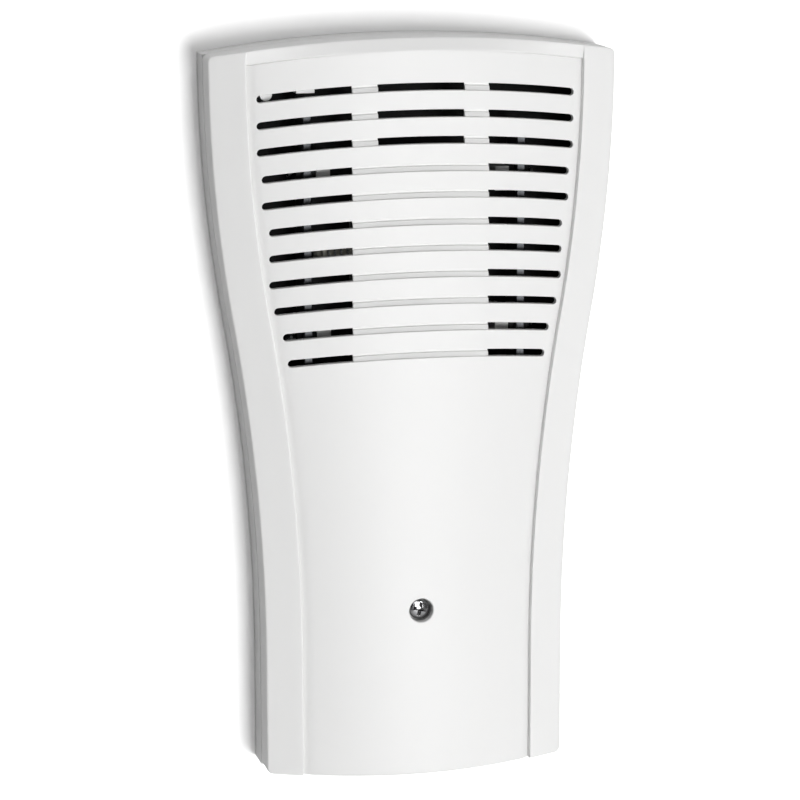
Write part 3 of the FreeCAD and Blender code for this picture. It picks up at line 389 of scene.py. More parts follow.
def front_point(form, column, crown):
    """Place one vertex of the front: column counts from the left edge to the right."""
    last_wing = WING_COLUMNS - 1
    side = -1
    index = column
    if column > (GRID_COLUMNS - 1) / 2:
        side = 1
        index = GRID_COLUMNS - 1 - column
    z = crown
    for _ in range(4):
        if index <= last_wing:
            inset, depth = wing_profile(form, z)[index]
            x = form.half_width(z) - inset
        else:
            inset = wing_profile(form, z)[last_wing][0]
            share = 1 - (index - last_wing) / (PANEL_COLUMNS / 2)
            x = (form.half_width(z) - inset) * math.sin(math.pi / 2 * share)
            depth = form.middle(x, z)
        z = row_z(form, crown, x)
    return side * x, depth, z


def front_grid(form):
    """Rows of (x, depth, z) that cover the front inside the rounded edge."""
    return [[front_point(form, column, crown) for column in range(GRID_COLUMNS)]
            for crown in row_heights(form)]


def perimeter(rows, columns):
    """Grid places round the edge, anticlockwise from the bottom left corner."""
    loop = [(0, column) for column in range(columns)]
    loop += [(row, columns - 1) for row in range(1, rows)]
    loop += [(rows - 1, column) for column in range(columns - 2, -1, -1)]
    loop += [(row, 0) for row in range(rows - 2, 0, -1)]
    return loop


def edge_place(form, row, column, rows, columns, x, z, inset):
    """Where an edge vertex lies on the outline at another inset, with the corners rounded."""
    case = form.case
    given = case.edge_round
    reach = EDGE_INSETS[-1] - EDGE_INSETS[0]
    radius = case.corner_round - inset
    from_side = min(column, columns - 1 - column)
    from_end = min(row, rows - 1 - row)
    side = -1 if column < columns / 2 else 1
    upper = row > rows / 2
    on_side = from_side == 0
    on_end = from_end == 0
    near = from_end if on_side and not on_end else from_side
    if on_side and on_end:
        near = 0
    if near < len(EDGE_INSETS):
        angle = math.radians(45 * (EDGE_INSETS[-1] - EDGE_INSETS[near]) / reach)
        width = form.half_width(form.top(case.top_half) if upper else -form.half)
        centre_x = width - case.corner_round
        if upper:
            centre_z = form.top(centre_x) - case.corner_round
        else:
            centre_z = form.foot(centre_x) + case.corner_round
        if on_side and not on_end:
            along_x, along_z = math.cos(angle), math.sin(angle)
        else:
            along_x, along_z = math.sin(angle), math.cos(angle)
        if near == 0:
            along_x = along_z = math.sqrt(0.5)
        return (side * (centre_x + radius * along_x),
                centre_z + radius * along_z * (1 if upper else -1))
    if on_side:
        return side * form.half_width(z, inset), z
    if upper:
        share = (given - inset) / given
        scale = 1 + share * given / case.top_radius
        wide = x * scale
        return wide, form.half - inset - form.drop(case.top_radius - inset, wide)
    return x, form.foot(x, inset)


def edge_slope(form, on_side, upper, x, z):
    """How fast the front rises from the edge inwards, at a place on the edge."""
    if on_side:
        return form.slope
    if not upper:
        return 0.0
    step = 0.5 * MM
    return (form.front(x, z - step) - form.front(x, z)) / step


def cover_block(form):
    """The cover as one closed mesh, without its slots: skin, wall, rim and the hollow inside."""
    case = form.case
    grid = front_grid(form)
    rows, columns = len(grid), len(grid[0])
    loop = perimeter(rows, columns)
    inset = case.edge_round
    vertices, faces = [], []
    index = {}
    for row in range(rows):
        for column in range(columns):
            x, depth, z = grid[row][column]
            if (row, column) in loop:
                x, z = edge_place(form, row, column, rows, columns, x, z, inset)
            index[row, column] = len(vertices)
            vertices.append((x, -depth, z))
    for row in range(rows - 1):
        for column in range(columns - 1):
            faces.append((index[row, column], index[row, column + 1],
                          index[row + 1, column + 1], index[row + 1, column]))
    previous = [index[place] for place in loop]
    for ring in edge_rings(form, grid, loop, rows, columns) + inner_rings(form, grid, loop):
        previous = add_ring(vertices, faces, previous, ring)
    add_inner_front(form, vertices, faces, previous, grid, loop)
    obj = mesh_object("cover_block", vertices, faces)
    outward(obj)
    return obj


def add_ring(vertices, faces, previous, ring):
    """Join a loop of points to the loop before it."""
    start = len(vertices)
    vertices += ring
    current = list(range(start, start + len(ring)))
    count = len(ring)
    for number in range(count):
        after = (number + 1) % count
        faces.append((previous[number], current[number], current[after], previous[after]))
    return current


# Steps of the front edge's rounding as shares of its radius. The rim's rounding is given as
# distance in front of the rim and inset, in millimetres.
ROUND_STEPS = (0.8, 0.6, 0.4, 0.2, 0.0)
RIM_ROUND = ((0.3, 0.0), (0.08, 0.07), (0.0, 0.25))


def edge_rings(form, grid, loop, rows, columns):
    """Loops that roll from the front over its rounded edge and down the wall to the rim."""
    case = form.case
    inset = case.edge_round
    rings = []
    for share in ROUND_STEPS:
        ring = []
        for row, column in loop:
            x, depth, z = grid[row][column]
            from_side = min(column, columns - 1 - column)
            upper = row > rows / 2
            slope = edge_slope(form, from_side == 0, upper, x, z)
            if from_side == 0 and min(row, rows - 1 - row) == 0:
                slope = form.slope / 2
            edge_inset = inset * share ** 2
            edge = depth - slope * inset
            deep = (edge - inset) * (1 - share) ** 2 + edge * 2 * share * (1 - share)
            deep += depth * share ** 2
            px, pz = edge_place(form, row, column, rows, columns, x, z, edge_inset)
            ring.append((px, -deep, pz))
        rings.append(ring)
    for rise, edge_inset in RIM_ROUND:
        rings.append(flat_ring(form, grid, loop, rows, columns, case.rim_depth + rise * MM,
                               edge_inset * MM))
    return rings


def flat_ring(form, grid, loop, rows, columns, depth, inset):
    """A loop round the outline at one depth and one inset."""
    ring = []
    for row, column in loop:
        x, _, z = grid[row][column]
        px, pz = edge_place(form, row, column, rows, columns, x, z, inset)
        ring.append((px, -depth, pz))
    return ring


def inner_rings(form, grid, loop):
    """The rim's inner edge and the inside of the wall."""
    case = form.case
    rings = []
    for depth in (case.rim_depth, case.rim_depth + 4 * MM, case.side_depth - 1.5 * MM):
        ring = []
        for row, column in loop:
            x, _, z = grid[row][column]
            px, pz = inside_place(form, x, z)
            ring.append((px, -depth, pz))
        rings.append(ring)
    return rings


def inside_place(form, x, z):
    """A place on the front moved onto the hollow's floor plan."""
    case = form.case
    given = case.edge_round
    across = (form.half_width(z) - case.wall) / (form.half_width(z) - given)
    along = (form.half - case.wall) / (form.half - given)
    return x * across, z * along


def add_inner_front(form, vertices, faces, edge, grid, loop):
    """The inside of the front, one wall behind it."""
    case = form.case
    rows, columns = len(grid), len(grid[0])
    index = dict(zip(loop, edge))
    for row in range(1, rows - 1):
        for column in range(1, columns - 1):
            x, _, z = grid[row][column]
            px, pz = inside_place(form, x, z)
            deep = form.front(px, pz) - case.wall
            deep = min(deep, form.middle(0.0, pz) - case.wall)
            index[row, column] = len(vertices)
            vertices.append((px, -deep, pz))
    for row in range(rows - 1):
        for column in range(columns - 1):
            faces.append((index[row, column], index[row + 1, column],
                          index[row + 1, column + 1], index[row, column + 1]))


# Half the width of the wall and the floor, and the floor's height, in metres
STAGE_HALF = 3.0
FLOOR_Z = -0.55


class CHIME_OT_stage(bpy.types.Operator):
    """Wall, floor, lights and camera"""

    bl_idname = "chime.stage"
    bl_label = "Stage"

    def execute(self, context):
        stage = context.scene.chime_stage
        form = CaseForm(context.scene.chime_case)
        make_wall(form)
        make_floor()
        make_lights(stage)
        make_camera(stage)
        context.scene.view_settings.view_transform = "Standard"
        return {"FINISHED"}


def make_wall(form):
    """A wall with an opening behind the case, so that light reaches the case's back."""
    behind = 0.0002
    count = 24
    inset = 0.7 * MM
    right = []
    for number in range(count + 1):
        z = -form.half + inset + (form.top(form.case.top_half) - inset + form.half) * number / count
        right.append((form.half_width(z, inset), z))
    wide = right[-1][0]
    arch = [wide * (1 - 2 * number / count) for number in range(1, count)]
    inner = right + [(x, form.top(abs(x)) - inset) for x in arch]
    inner += [(-x, z) for x, z in reversed(right)]
    outer = []
    for x, z in inner:
        scale = STAGE_HALF / max(abs(x), abs(z))
        outer.append((x * scale, z * scale))
    vertices = [(x, behind, z) for x, z in inner] + [(x, behind, z) for x, z in outer]
    total = len(inner)
    faces = []
    for number in range(total):
        after = (number + 1) % total
        faces.append((number, after, total + after, total + number))
    wall = mesh_object("wall", vertices, faces)
    turn_towards(wall, Vector((0, -1, 0)))
    dress(wall, wall_material())


def turn_towards(obj, direction):
    """Make a flat mesh's faces point one way."""
    for face in obj.data.polygons:
        if face.normal.dot(direction) < 0:
            face.flip()
    obj.data.update()


def make_floor():
    corners = ((-STAGE_HALF, -STAGE_HALF), (STAGE_HALF, -STAGE_HALF), (STAGE_HALF, STAGE_HALF),
               (-STAGE_HALF, STAGE_HALF))
    floor = mesh_object("floor", [(x, y, FLOOR_Z) for x, y in corners], [(0, 1, 2, 3)])
    dress(floor, plain_material("pale_floor", (0.8, 0.8, 0.8), 0.7))


def plain_material(name, rgb, roughness):
    material, _, _, shader = new_material(name)
    shader.inputs["Base Color"].default_value = (*rgb, 1.0)
    shader.inputs["Roughness"].default_value = roughness
    return material


def wall_material():
    """White wall that only shows from the front, brighter to the camera than to other rays."""
    material, nodes, links, shader = new_material("white_wall")
    shader.inputs["Base Color"].default_value = (0.7, 0.7, 0.7, 1.0)
    shader.inputs["Roughness"].default_value = 0.9
    shader.inputs["Specular IOR Level"].default_value = 0.1
    bright = nodes.new("ShaderNodeBsdfDiffuse")
    bright.inputs["Color"].default_value = (1.36, 1.36, 1.36, 1.0)
    ray = nodes.new("ShaderNodeLightPath")
    seen = nodes.new("ShaderNodeMixShader")
    links.new(ray.outputs["Is Camera Ray"], seen.inputs[0])
    links.new(shader.outputs[0], seen.inputs[1])
    links.new(bright.outputs[0], seen.inputs[2])
    clear = nodes.new("ShaderNodeBsdfTransparent")
    facing = nodes.new("ShaderNodeNewGeometry")
    mix = nodes.new("ShaderNodeMixShader")
    links.new(facing.outputs["Backfacing"], mix.inputs[0])
    links.new(seen.outputs[0], mix.inputs[1])
    links.new(clear.outputs[0], mix.inputs[2])
    links.new(mix.outputs[0], nodes["Material Output"].inputs["Surface"])
    return material


def make_lights(stage):
    world = bpy.data.worlds.new("soft_room")
    bpy.context.scene.world = world
    world.use_nodes = True
    background = world.node_tree.nodes["Background"]
    background.inputs["Color"].default_value = (1.0, 1.0, 1.0, 1.0)
    background.inputs["Strength"].default_value = stage.ambient
    add_area("key_light", (0.29, -1.57, -0.23), 0.48, stage.key_power)
    add_area("side_light", (0.95, -0.67, -0.3), 0.9, stage.side_power)
    add_area("top_light", (0.0, -0.35, 1.16), 0.6, stage.top_power)
    add_area("glint_light", (-0.03, -1.5, 0.09), 0.34, stage.glint_power)
    add_area("back_light", (0.3, 1.0, 0.4), 0.9, stage.back_power)


def add_area(name, location, size, power):
    light = bpy.data.lights.new(name, "AREA")
    light.shape = "SQUARE"
    light.size = size
    light.energy = power
    obj = bpy.data.objects.new(name, light)
    obj.location = location
    direction = Vector((0.0, -0.01, 0.0)) - obj.location
    obj.rotation_euler = direction.to_track_quat("-Z", "Y").to_euler()
    bpy.context.scene.collection.objects.link(obj)


def make_camera(stage):
    camera = bpy.data.cameras.new("camera")
    camera.lens = stage.lens
    camera.sensor_width = 36.0
    camera.clip_start = 0.05
    camera.clip_end = 20.0
    obj = bpy.data.objects.new("camera", camera)
    turn, rise = math.radians(stage.turn), math.radians(stage.rise)
    back = Vector((-math.sin(turn) * math.cos(rise), -math.cos(turn) * math.cos(rise),
                   math.sin(rise)))
    obj.location = Vector(stage.target) + back * stage.distance
    aim = (-back).to_track_quat("-Z", "Y").to_matrix()
    roll = Matrix.Rotation(math.radians(stage.tilt), 3, "Z")
    obj.rotation_euler = (aim @ roll).to_euler()
    bpy.context.scene.collection.objects.link(obj)
    bpy.context.scene.camera = obj


# Materials

def new_material(name):
    material = bpy.data.materials.new(name)
    material.use_nodes = True
    nodes, links = material.node_tree.nodes, material.node_tree.links
    return material, nodes, links, nodes["Principled BSDF"]


def new_group(name, inputs, outputs):
    """A shader node group with named sockets, and its input and output nodes."""
    group = bpy.data.node_groups.new(name, "ShaderNodeTree")
    for label, kind, value in inputs:
        socket = group.interface.new_socket(label, in_out="INPUT", socket_type=kind)
        socket.default_value = value
    for label, kind in outputs:
        group.interface.new_socket(label, in_out="OUTPUT", socket_type=kind)
    start = group.nodes.new("NodeGroupInput")
    end = group.nodes.new("NodeGroupOutput")
    return group, group.nodes, group.links, start, end


def once(name, build):
    """Build a node group the first time it is asked for."""
    return bpy.data.node_groups.get(name) or build(name)


def build_drift(name):
    """Slow change of tone over a moulding, with a fine speckle."""
    group, nodes, links, start, end = new_group(
        name,
        [("Colour", "NodeSocketColor", (0.8, 0.8, 0.8, 1.0)),
         ("Amount", "NodeSocketFloat", 0.03), ("Scale", "NodeSocketFloat", 30.0)],
        [("Colour", "NodeSocketColor"), ("Mask", "NodeSocketFloat")])
    place = nodes.new("ShaderNodeTexCoord")
    noise = nodes.new("ShaderNodeTexNoise")
    noise.inputs["Detail"].default_value = 3.0
    links.new(place.outputs["Object"], noise.inputs["Vector"])
    links.new(start.outputs["Scale"], noise.inputs["Scale"])
    centred = nodes.new("ShaderNodeMath")
    centred.operation = "SUBTRACT"
    centred.inputs[1].default_value = 0.5
    links.new(noise.outputs["Fac"], centred.inputs[0])
    amount = nodes.new("ShaderNodeMath")
    amount.operation = "MULTIPLY_ADD"
    amount.inputs[2].default_value = 1.0
    links.new(centred.outputs[0], amount.inputs[0])
    links.new(start.outputs["Amount"], amount.inputs[1])
    scaled = nodes.new("ShaderNodeVectorMath")
    scaled.operation = "SCALE"
    links.new(start.outputs["Colour"], scaled.inputs[0])
    links.new(amount.outputs[0], scaled.inputs["Scale"])
    links.new(scaled.outputs[0], end.inputs["Colour"])
    links.new(noise.outputs["Fac"], end.inputs["Mask"])
    return group


def build_grain(name):
    """Fine moulded or rolled grain as a height, stretched along chosen axes."""
    group, nodes, links, start, end = new_group(
        name,
        [("Stretch", "NodeSocketVector", (1.0, 1.0, 1.0)),
         ("Scale", "NodeSocketFloat", 1500.0), ("Rough Low", "NodeSocketFloat", 0.3),
         ("Rough High", "NodeSocketFloat", 0.45)],
        [("Height", "NodeSocketFloat"), ("Roughness", "NodeSocketFloat")])
    place = nodes.new("ShaderNodeTexCoord")
    mapping = nodes.new("ShaderNodeMapping")
    links.new(place.outputs["Object"], mapping.inputs["Vector"])
    links.new(start.outputs["Stretch"], mapping.inputs["Scale"])
    noise = nodes.new("ShaderNodeTexNoise")
    noise.inputs["Detail"].default_value = 4.0
    noise.inputs["Roughness"].default_value = 0.6
    links.new(mapping.outputs[0], noise.inputs["Vector"])
    links.new(start.outputs["Scale"], noise.inputs["Scale"])
    spread = nodes.new("ShaderNodeMapRange")
    spread.inputs["From Min"].default_value = 0.3
    spread.inputs["From Max"].default_value = 0.7
    links.new(noise.outputs["Fac"], spread.inputs["Value"])
    links.new(start.outputs["Rough Low"], spread.inputs["To Min"])
    links.new(start.outputs["Rough High"], spread.inputs["To Max"])
    links.new(noise.outputs["Fac"], end.inputs["Height"])
    links.new(spread.outputs["Result"], end.inputs["Roughness"])
    return group


def finish_material(name, rgb, drift=(0.03, 30.0), grain=((1, 1, 1), 1500.0), rough=(0.3, 0.45),
                    bump=(0.1, 0.00002), metallic=0.0, edge=0.15, **sockets):
    """A Principled material with tone drift, grain, bump and softened edges.

    The edge is the radius in millimetres that sharp edges are softened by.
    """
    material, nodes, links, shader = new_material(name)
    tone = nodes.new("ShaderNodeGroup")
    tone.node_tree = once("Tone drift", build_drift)
    tone.inputs["Colour"].default_value = (*rgb, 1.0)
    tone.inputs["Amount"].default_value = drift[0]
    tone.inputs["Scale"].default_value = drift[1]
    skin = nodes.new("ShaderNodeGroup")
    skin.node_tree = once("Surface grain", build_grain)
    skin.inputs["Stretch"].default_value = grain[0]
    skin.inputs["Scale"].default_value = grain[1]
    skin.inputs["Rough Low"].default_value = rough[0]
    skin.inputs["Rough High"].default_value = rough[1]
    relief = nodes.new("ShaderNodeBump")
    relief.inputs["Strength"].default_value = bump[0]
    relief.inputs["Distance"].default_value = bump[1]
    links.new(skin.outputs["Height"], relief.inputs["Height"])
    if edge:
        softened = nodes.new("ShaderNodeBevel")
        softened.samples = 4
        softened.inputs["Radius"].default_value = edge * MM
        links.new(softened.outputs["Normal"], relief.inputs["Normal"])
    links.new(relief.outputs["Normal"], shader.inputs["Normal"])
    links.new(tone.outputs["Colour"], shader.inputs["Base Color"])
    links.new(skin.outputs["Roughness"], shader.inputs["Roughness"])
    shader.inputs["Metallic"].default_value = metallic
    for label, value in sockets.items():
        shader.inputs[label.replace("_", " ")].default_value = value
    return material


def make_finishes(finish):
    """One material for each finish in the record."""
    steel, cream, black = tuple(finish.steel), tuple(finish.cream), tuple(finish.black)
    metal = {"metallic": 1.0}
    return {
        "white_cover": finish_material("white_cover", tuple(finish.case_white), (0.02, 25.0),
                                       ((1, 1, 1), 2600.0), (0.43, 0.51), (0.12, 0.00002),
                                       edge=0.0),
        "white_base": finish_material("white_base", tuple(finish.case_white), (0.02, 25.0),
                                      ((1, 1, 1), 2200.0), (0.5, 0.6), (0.2, 0.00002),
                                      Specular_IOR_Level=0.4),
        "screw_chrome": finish_material("screw_chrome", (0.24, 0.24, 0.245), (0.05, 400.0),
                                        ((1, 1, 1), 3000.0), (0.08, 0.14), (0.06, 0.00001), **metal),
        "brass": finish_material("brass", tuple(finish.brass), (0.08, 300.0), ((1, 1, 1), 3000.0),
                                 (0.22, 0.36), (0.15, 0.00001), **metal),
        "zinc_steel": finish_material("zinc_steel", steel, (0.12, 220.0), ((1, 1, 6), 1200.0),
                                      (0.28, 0.45), (0.2, 0.00002), **metal),
        "zinc_screw": finish_material("zinc_screw", steel, (0.1, 500.0), ((1, 1, 1), 2500.0),
                                      (0.22, 0.38), (0.15, 0.00001), **metal),
        "bobbin_plastic": finish_material("bobbin_plastic", black, (0.2, 80.0),
                                          ((1, 1, 1), 2500.0), (0.38, 0.5), (0.2, 0.00002)),
        "copper_winding": winding_material("copper_winding", tuple(finish.copper)),
        "core_steel": finish_material("core_steel", steel, (0.06, 400.0), ((0.2, 8, 8), 900.0),
                                      (0.2, 0.34), (0.15, 0.00001), **metal),
        "striker_plastic": finish_material("striker_plastic", cream, (0.04, 90.0),
                                           ((1, 1, 1), 2500.0), (0.35, 0.5), (0.15, 0.00002)),
        "spring_steel": finish_material("spring_steel", steel, (0.05, 700.0), ((1, 1, 1), 4000.0),
                                        (0.2, 0.3), (0.1, 0.00001), **metal),
        # The tone bars' near-black colour is painted shade: it keeps them as dark as the shaded
        # inside seen through the slots.
        "bar_steel": finish_material("bar_steel", (0.06, 0.062, 0.066), (0.12, 150.0),
                                     ((9, 9, 0.4), 700.0), (0.38, 0.5), (0.2, 0.00002), **metal),
        "rubber": finish_material("rubber", tuple(finish.rubber), (0.3, 120.0),
                                  ((1, 1, 1), 1800.0), (0.55, 0.75), (0.3, 0.00003)),
        "block_plastic": finish_material("block_plastic", cream, (0.04, 90.0), ((1, 1, 1), 2200.0),
                                         (0.4, 0.55), (0.2, 0.00002)),
        "lead_cover": finish_material("lead_cover", black, (0.2, 200.0), ((1, 1, 1), 2500.0),
                                      (0.35, 0.5), (0.15, 0.00002)),
    }


def winding_material(name, rgb):
    """Fine turns of enamelled wire that run round the coil."""
    material = finish_material(name, rgb, (0.25, 260.0), ((1, 1, 1), 2500.0), (0.25, 0.4),
                               (0.2, 0.00001), metallic=0.85)
    nodes, links = material.node_tree.nodes, material.node_tree.links
    place = nodes.new("ShaderNodeTexCoord")
    turns = nodes.new("ShaderNodeTexWave")
    turns.bands_direction = "X"
    turns.inputs["Scale"].default_value = 620.0
    turns.inputs["Distortion"].default_value = 0.6
    links.new(place.outputs["Object"], turns.inputs["Vector"])
    ridge = nodes.new("ShaderNodeBump")
    ridge.inputs["Strength"].default_value = 0.8
    ridge.inputs["Distance"].default_value = 0.0001
    links.new(turns.outputs["Fac"], ridge.inputs["Height"])
    links.new(nodes["Bump"].outputs["Normal"], ridge.inputs["Normal"])
    links.new(ridge.outputs["Normal"], nodes["Principled BSDF"].inputs["Normal"])
    return material


FINISHES = {}
SHADOW_OFFSET = 0.15
# Corners of the CAD's mesh nearer than this, in metres, are one.
MERGE_DISTANCE = 2e-6


def finishes():
    """The materials by name, made on first use."""
    if not FINISHES:
        FINISHES.update(make_finishes(bpy.context.scene.chime_finish))
    return FINISHES


def slot_of(node):
    """The record's material slot of a CAD node."""
    for part in frame["record"]["subparts"]:
        if part["node"] == node:
            return part["material_slot"]
    raise ValueError("no slot for " + node)


def body_of(node):
    """The record's body that a CAD node rides on."""
    for body, nodes in frame["record"]["behaviour"]["bodies"].items():
        if node in nodes:
            return body
    raise ValueError("no body for " + node)


def stand_for(obj, node):
    """Finish a piece and let it ride and stand for one node.

    The return spring rides on no body: its placement is baked into its mesh, where it stays.
    """
    dress(obj, finishes()[slot_of(node)])
    obj.shadow_terminator_geometry_offset = SHADOW_OFFSET
    if node == "return_spring":
        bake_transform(obj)
    else:
        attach(obj, body_of(node))
    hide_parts(node)


def smooth_copy(node, degrees=30.0):
    """A merged, smoothly shaded copy of a CAD node, with its edges kept."""
    mesh = frame["nodes"][node].data.copy()
    obj = new_object(node + "_piece", mesh)
    work = bmesh.new()
    work.from_mesh(mesh)
    bmesh.ops.remove_doubles(work, verts=work.verts, dist=MERGE_DISTANCE)
    work.to_mesh(mesh)
    work.free()
    if "custom_normal" in mesh.attributes:
        mesh.attributes.remove(mesh.attributes["custom_normal"])
    smooth(obj, degrees)
    return obj


# Slots and recess, cut from the cover

# The rows of slots from the top down, sizes in millimetres. The rows of a group end at the same
# distance from the centre line, one margin short of the strips.
SLOT_GROUPS = (0, 0, 0, 1, 1, 2, 2, 2, 3, 4, 5)
SLOT_MARGINS = (2.2, 2.4, 1.75, 1.9, 2.9, 3.0)
SLOT_PITCH = 7.03
SLOT_GROUP_STEP = 0.2
SLOT_TOP = 87.22
# The blind stretch reaches this far to both sides of its own middle, which is shifted to the
# right. The first rows are open again between two ribs.
RIBBED_ROWS = 3
BLIND_HALF = 18.55
RIB_INNER = 11.75
RIB_SHIFT = 0.43


def slot_rows(form):
    """Crown height and half length of each row of slots."""
    crowns = [(SLOT_TOP - row * SLOT_PITCH - group * SLOT_GROUP_STEP) * MM
              for row, group in enumerate(SLOT_GROUPS)]
    rows = []
    for row, group in enumerate(SLOT_GROUPS):
        lowest = max(number for number, other in enumerate(SLOT_GROUPS) if other == group)
        panel = form.half_width(crowns[lowest], form.case.wing_width)
        rows.append((crowns[row], panel - SLOT_MARGINS[group] * MM))
    return rows


# Lines along the floor of a blind groove, as shares of its half height from the upper lip at 1
# to the lower lip at -1. The floor drops fastest between the two named ones.
DROP_TOP = 0.37
DROP_FOOT = 0.16
SCOOP = (0.8, DROP_TOP, 0.3, 0.23, DROP_FOOT, -0.4)
# The rounding of a lip in degrees, and how much wider than its radius the cutter is above it
LIP_ANGLES = (75, 50, 25, 0)
LIP_WIDER = 1.3


def slot_template(name, half_height, rings, sections=36, round_steps=8, scoop=None):
    """A straight slot of unit length: t along X, depth below the skin as Y, and a cap offset.

    With a scoop, the last ring's depth and the floor inside it follow the height.
    """
    vertices, caps = [], []
    sides = [2 * number / sections - 1 for number in range(sections + 1)]
    angles = [math.pi * number / round_steps for number in range(1, round_steps)]
    loop_length = 2 * len(sides) + 2 * len(angles)
    for offset, deep in rings:
        high = half_height + offset
        loop = [(t, high, 0.0) for t in sides]
        loop += [(1.0, high * math.cos(a), high * math.sin(a)) for a in angles]
        loop += [(t, -high, 0.0) for t in reversed(sides)]
        loop += [(-1.0, -high * math.cos(a), -high * math.sin(a)) for a in angles]
        for t, z, cap in loop:
            depth = scoop(z / high) if deep is None else deep
            vertices.append((t, depth, z))
            caps.append(cap)
    faces = ring_faces(len(rings), loop_length)
    last = (len(rings) - 1) * loop_length
    faces += lid(0, len(sides), len(angles), loop_length, False)
    if scoop:
        faces += scoop_floor(vertices, last, sides, len(angles), loop_length, scoop)
        caps += [0.0] * (len(vertices) - len(caps))
    else:
        faces += lid(last, len(sides), len(angles), loop_length, True)
    obj = mesh_object(name, vertices, faces)
    layer = obj.data.attributes.new("cap", "FLOAT", "POINT")
    layer.data.foreach_set("value", caps)
    return obj


def lid(start, sides, angles, loop_length, turned):
    """Faces that close one end of a slot template."""
    lids = []
    opposite = sides + angles
    for number in range(sides - 1):
        lids.append((start + number, start + opposite + sides - 1 - number,
                     start + opposite + sides - 2 - number, start + number + 1))
    lids.append(tuple(start + number for number in range(sides - 1, opposite + 1)))
    ends = list(range(opposite + sides - 1, loop_length)) + [0]
    lids.append(tuple(start + number for number in ends))
    return [face[::-1] for face in lids] if turned else lids


def scoop_floor(vertices, start, sides, angles, loop_length, scoop):
    """A slot's floor as strips between its long sides, so that it can curve."""
    high = vertices[start][2]
    count = len(sides)
    rows = [[start + number for number in range(count)]]
    for share in SCOOP:
        rows.append([len(vertices) + number for number in range(count)])
        vertices += [(t, scoop(share), high * share) for t in sides]
    opposite = start + count + angles
    rows.append([opposite + count - 1 - number for number in range(count)])
    faces = []
    for upper, lower in zip(rows, rows[1:]):
        for number in range(count - 1):
            faces.append((upper[number], upper[number + 1], lower[number + 1], lower[number]))
    right = [row[-1] for row in rows[1:-1]][::-1]
    faces.append(tuple(range(rows[0][-1], rows[-1][-1] + 1)) + tuple(right))
    left = [row[0] for row in rows[1:-1]]
    faces.append(tuple(range(rows[-1][0], start + loop_length)) + (start,) + tuple(left))
    return faces


def slot_points(name, spans):
    """One point for each cut, with where it starts and ends and which ends are round."""
    obj = mesh_object(name, [(0, 0, 0)] * len(spans), [])
    for column, label in enumerate(("start", "finish", "crown", "round_start", "round_finish")):
        layer = obj.data.attributes.new(label, "FLOAT", "POINT")
        layer.data.foreach_set("value", [float(span[column]) for span in spans])
    return obj


class Tree:
    """Short calls for building a Geometry Nodes tree."""

    def __init__(self, name):
        self.group = bpy.data.node_groups.new(name, "GeometryNodeTree")
        self.group.interface.new_socket("Geometry", in_out="OUTPUT",
                                        socket_type="NodeSocketGeometry")
        self.group.interface.new_socket("Geometry", in_out="INPUT",
                                        socket_type="NodeSocketGeometry")
        self.start = self.group.nodes.new("NodeGroupInput")
        self.end = self.group.nodes.new("NodeGroupOutput")

    def input(self, label, kind, value=None):
        socket = self.group.interface.new_socket(label, in_out="INPUT", socket_type=kind)
        if value is not None:
            socket.default_value = value
        return self.start.outputs[label]

    def link(self, source, target):
        self.group.links.new(source, target)

    def node(self, kind, *inputs, **settings):
        made = self.group.nodes.new(kind)
        for label, value in settings.items():
            setattr(made, label, value)
        for number, value in enumerate(inputs):
            if value is None:
                continue
            if isinstance(value, bpy.types.NodeSocket):
                self.link(value, made.inputs[number])
            else:
                made.inputs[number].default_value = value
        return made

    def math(self, operation, *inputs):
        return self.node("ShaderNodeMath", *inputs, operation=operation).outputs[0]

    def named(self, label):
        return self.node("GeometryNodeInputNamedAttribute", label,
                         data_type="FLOAT").outputs["Attribute"]


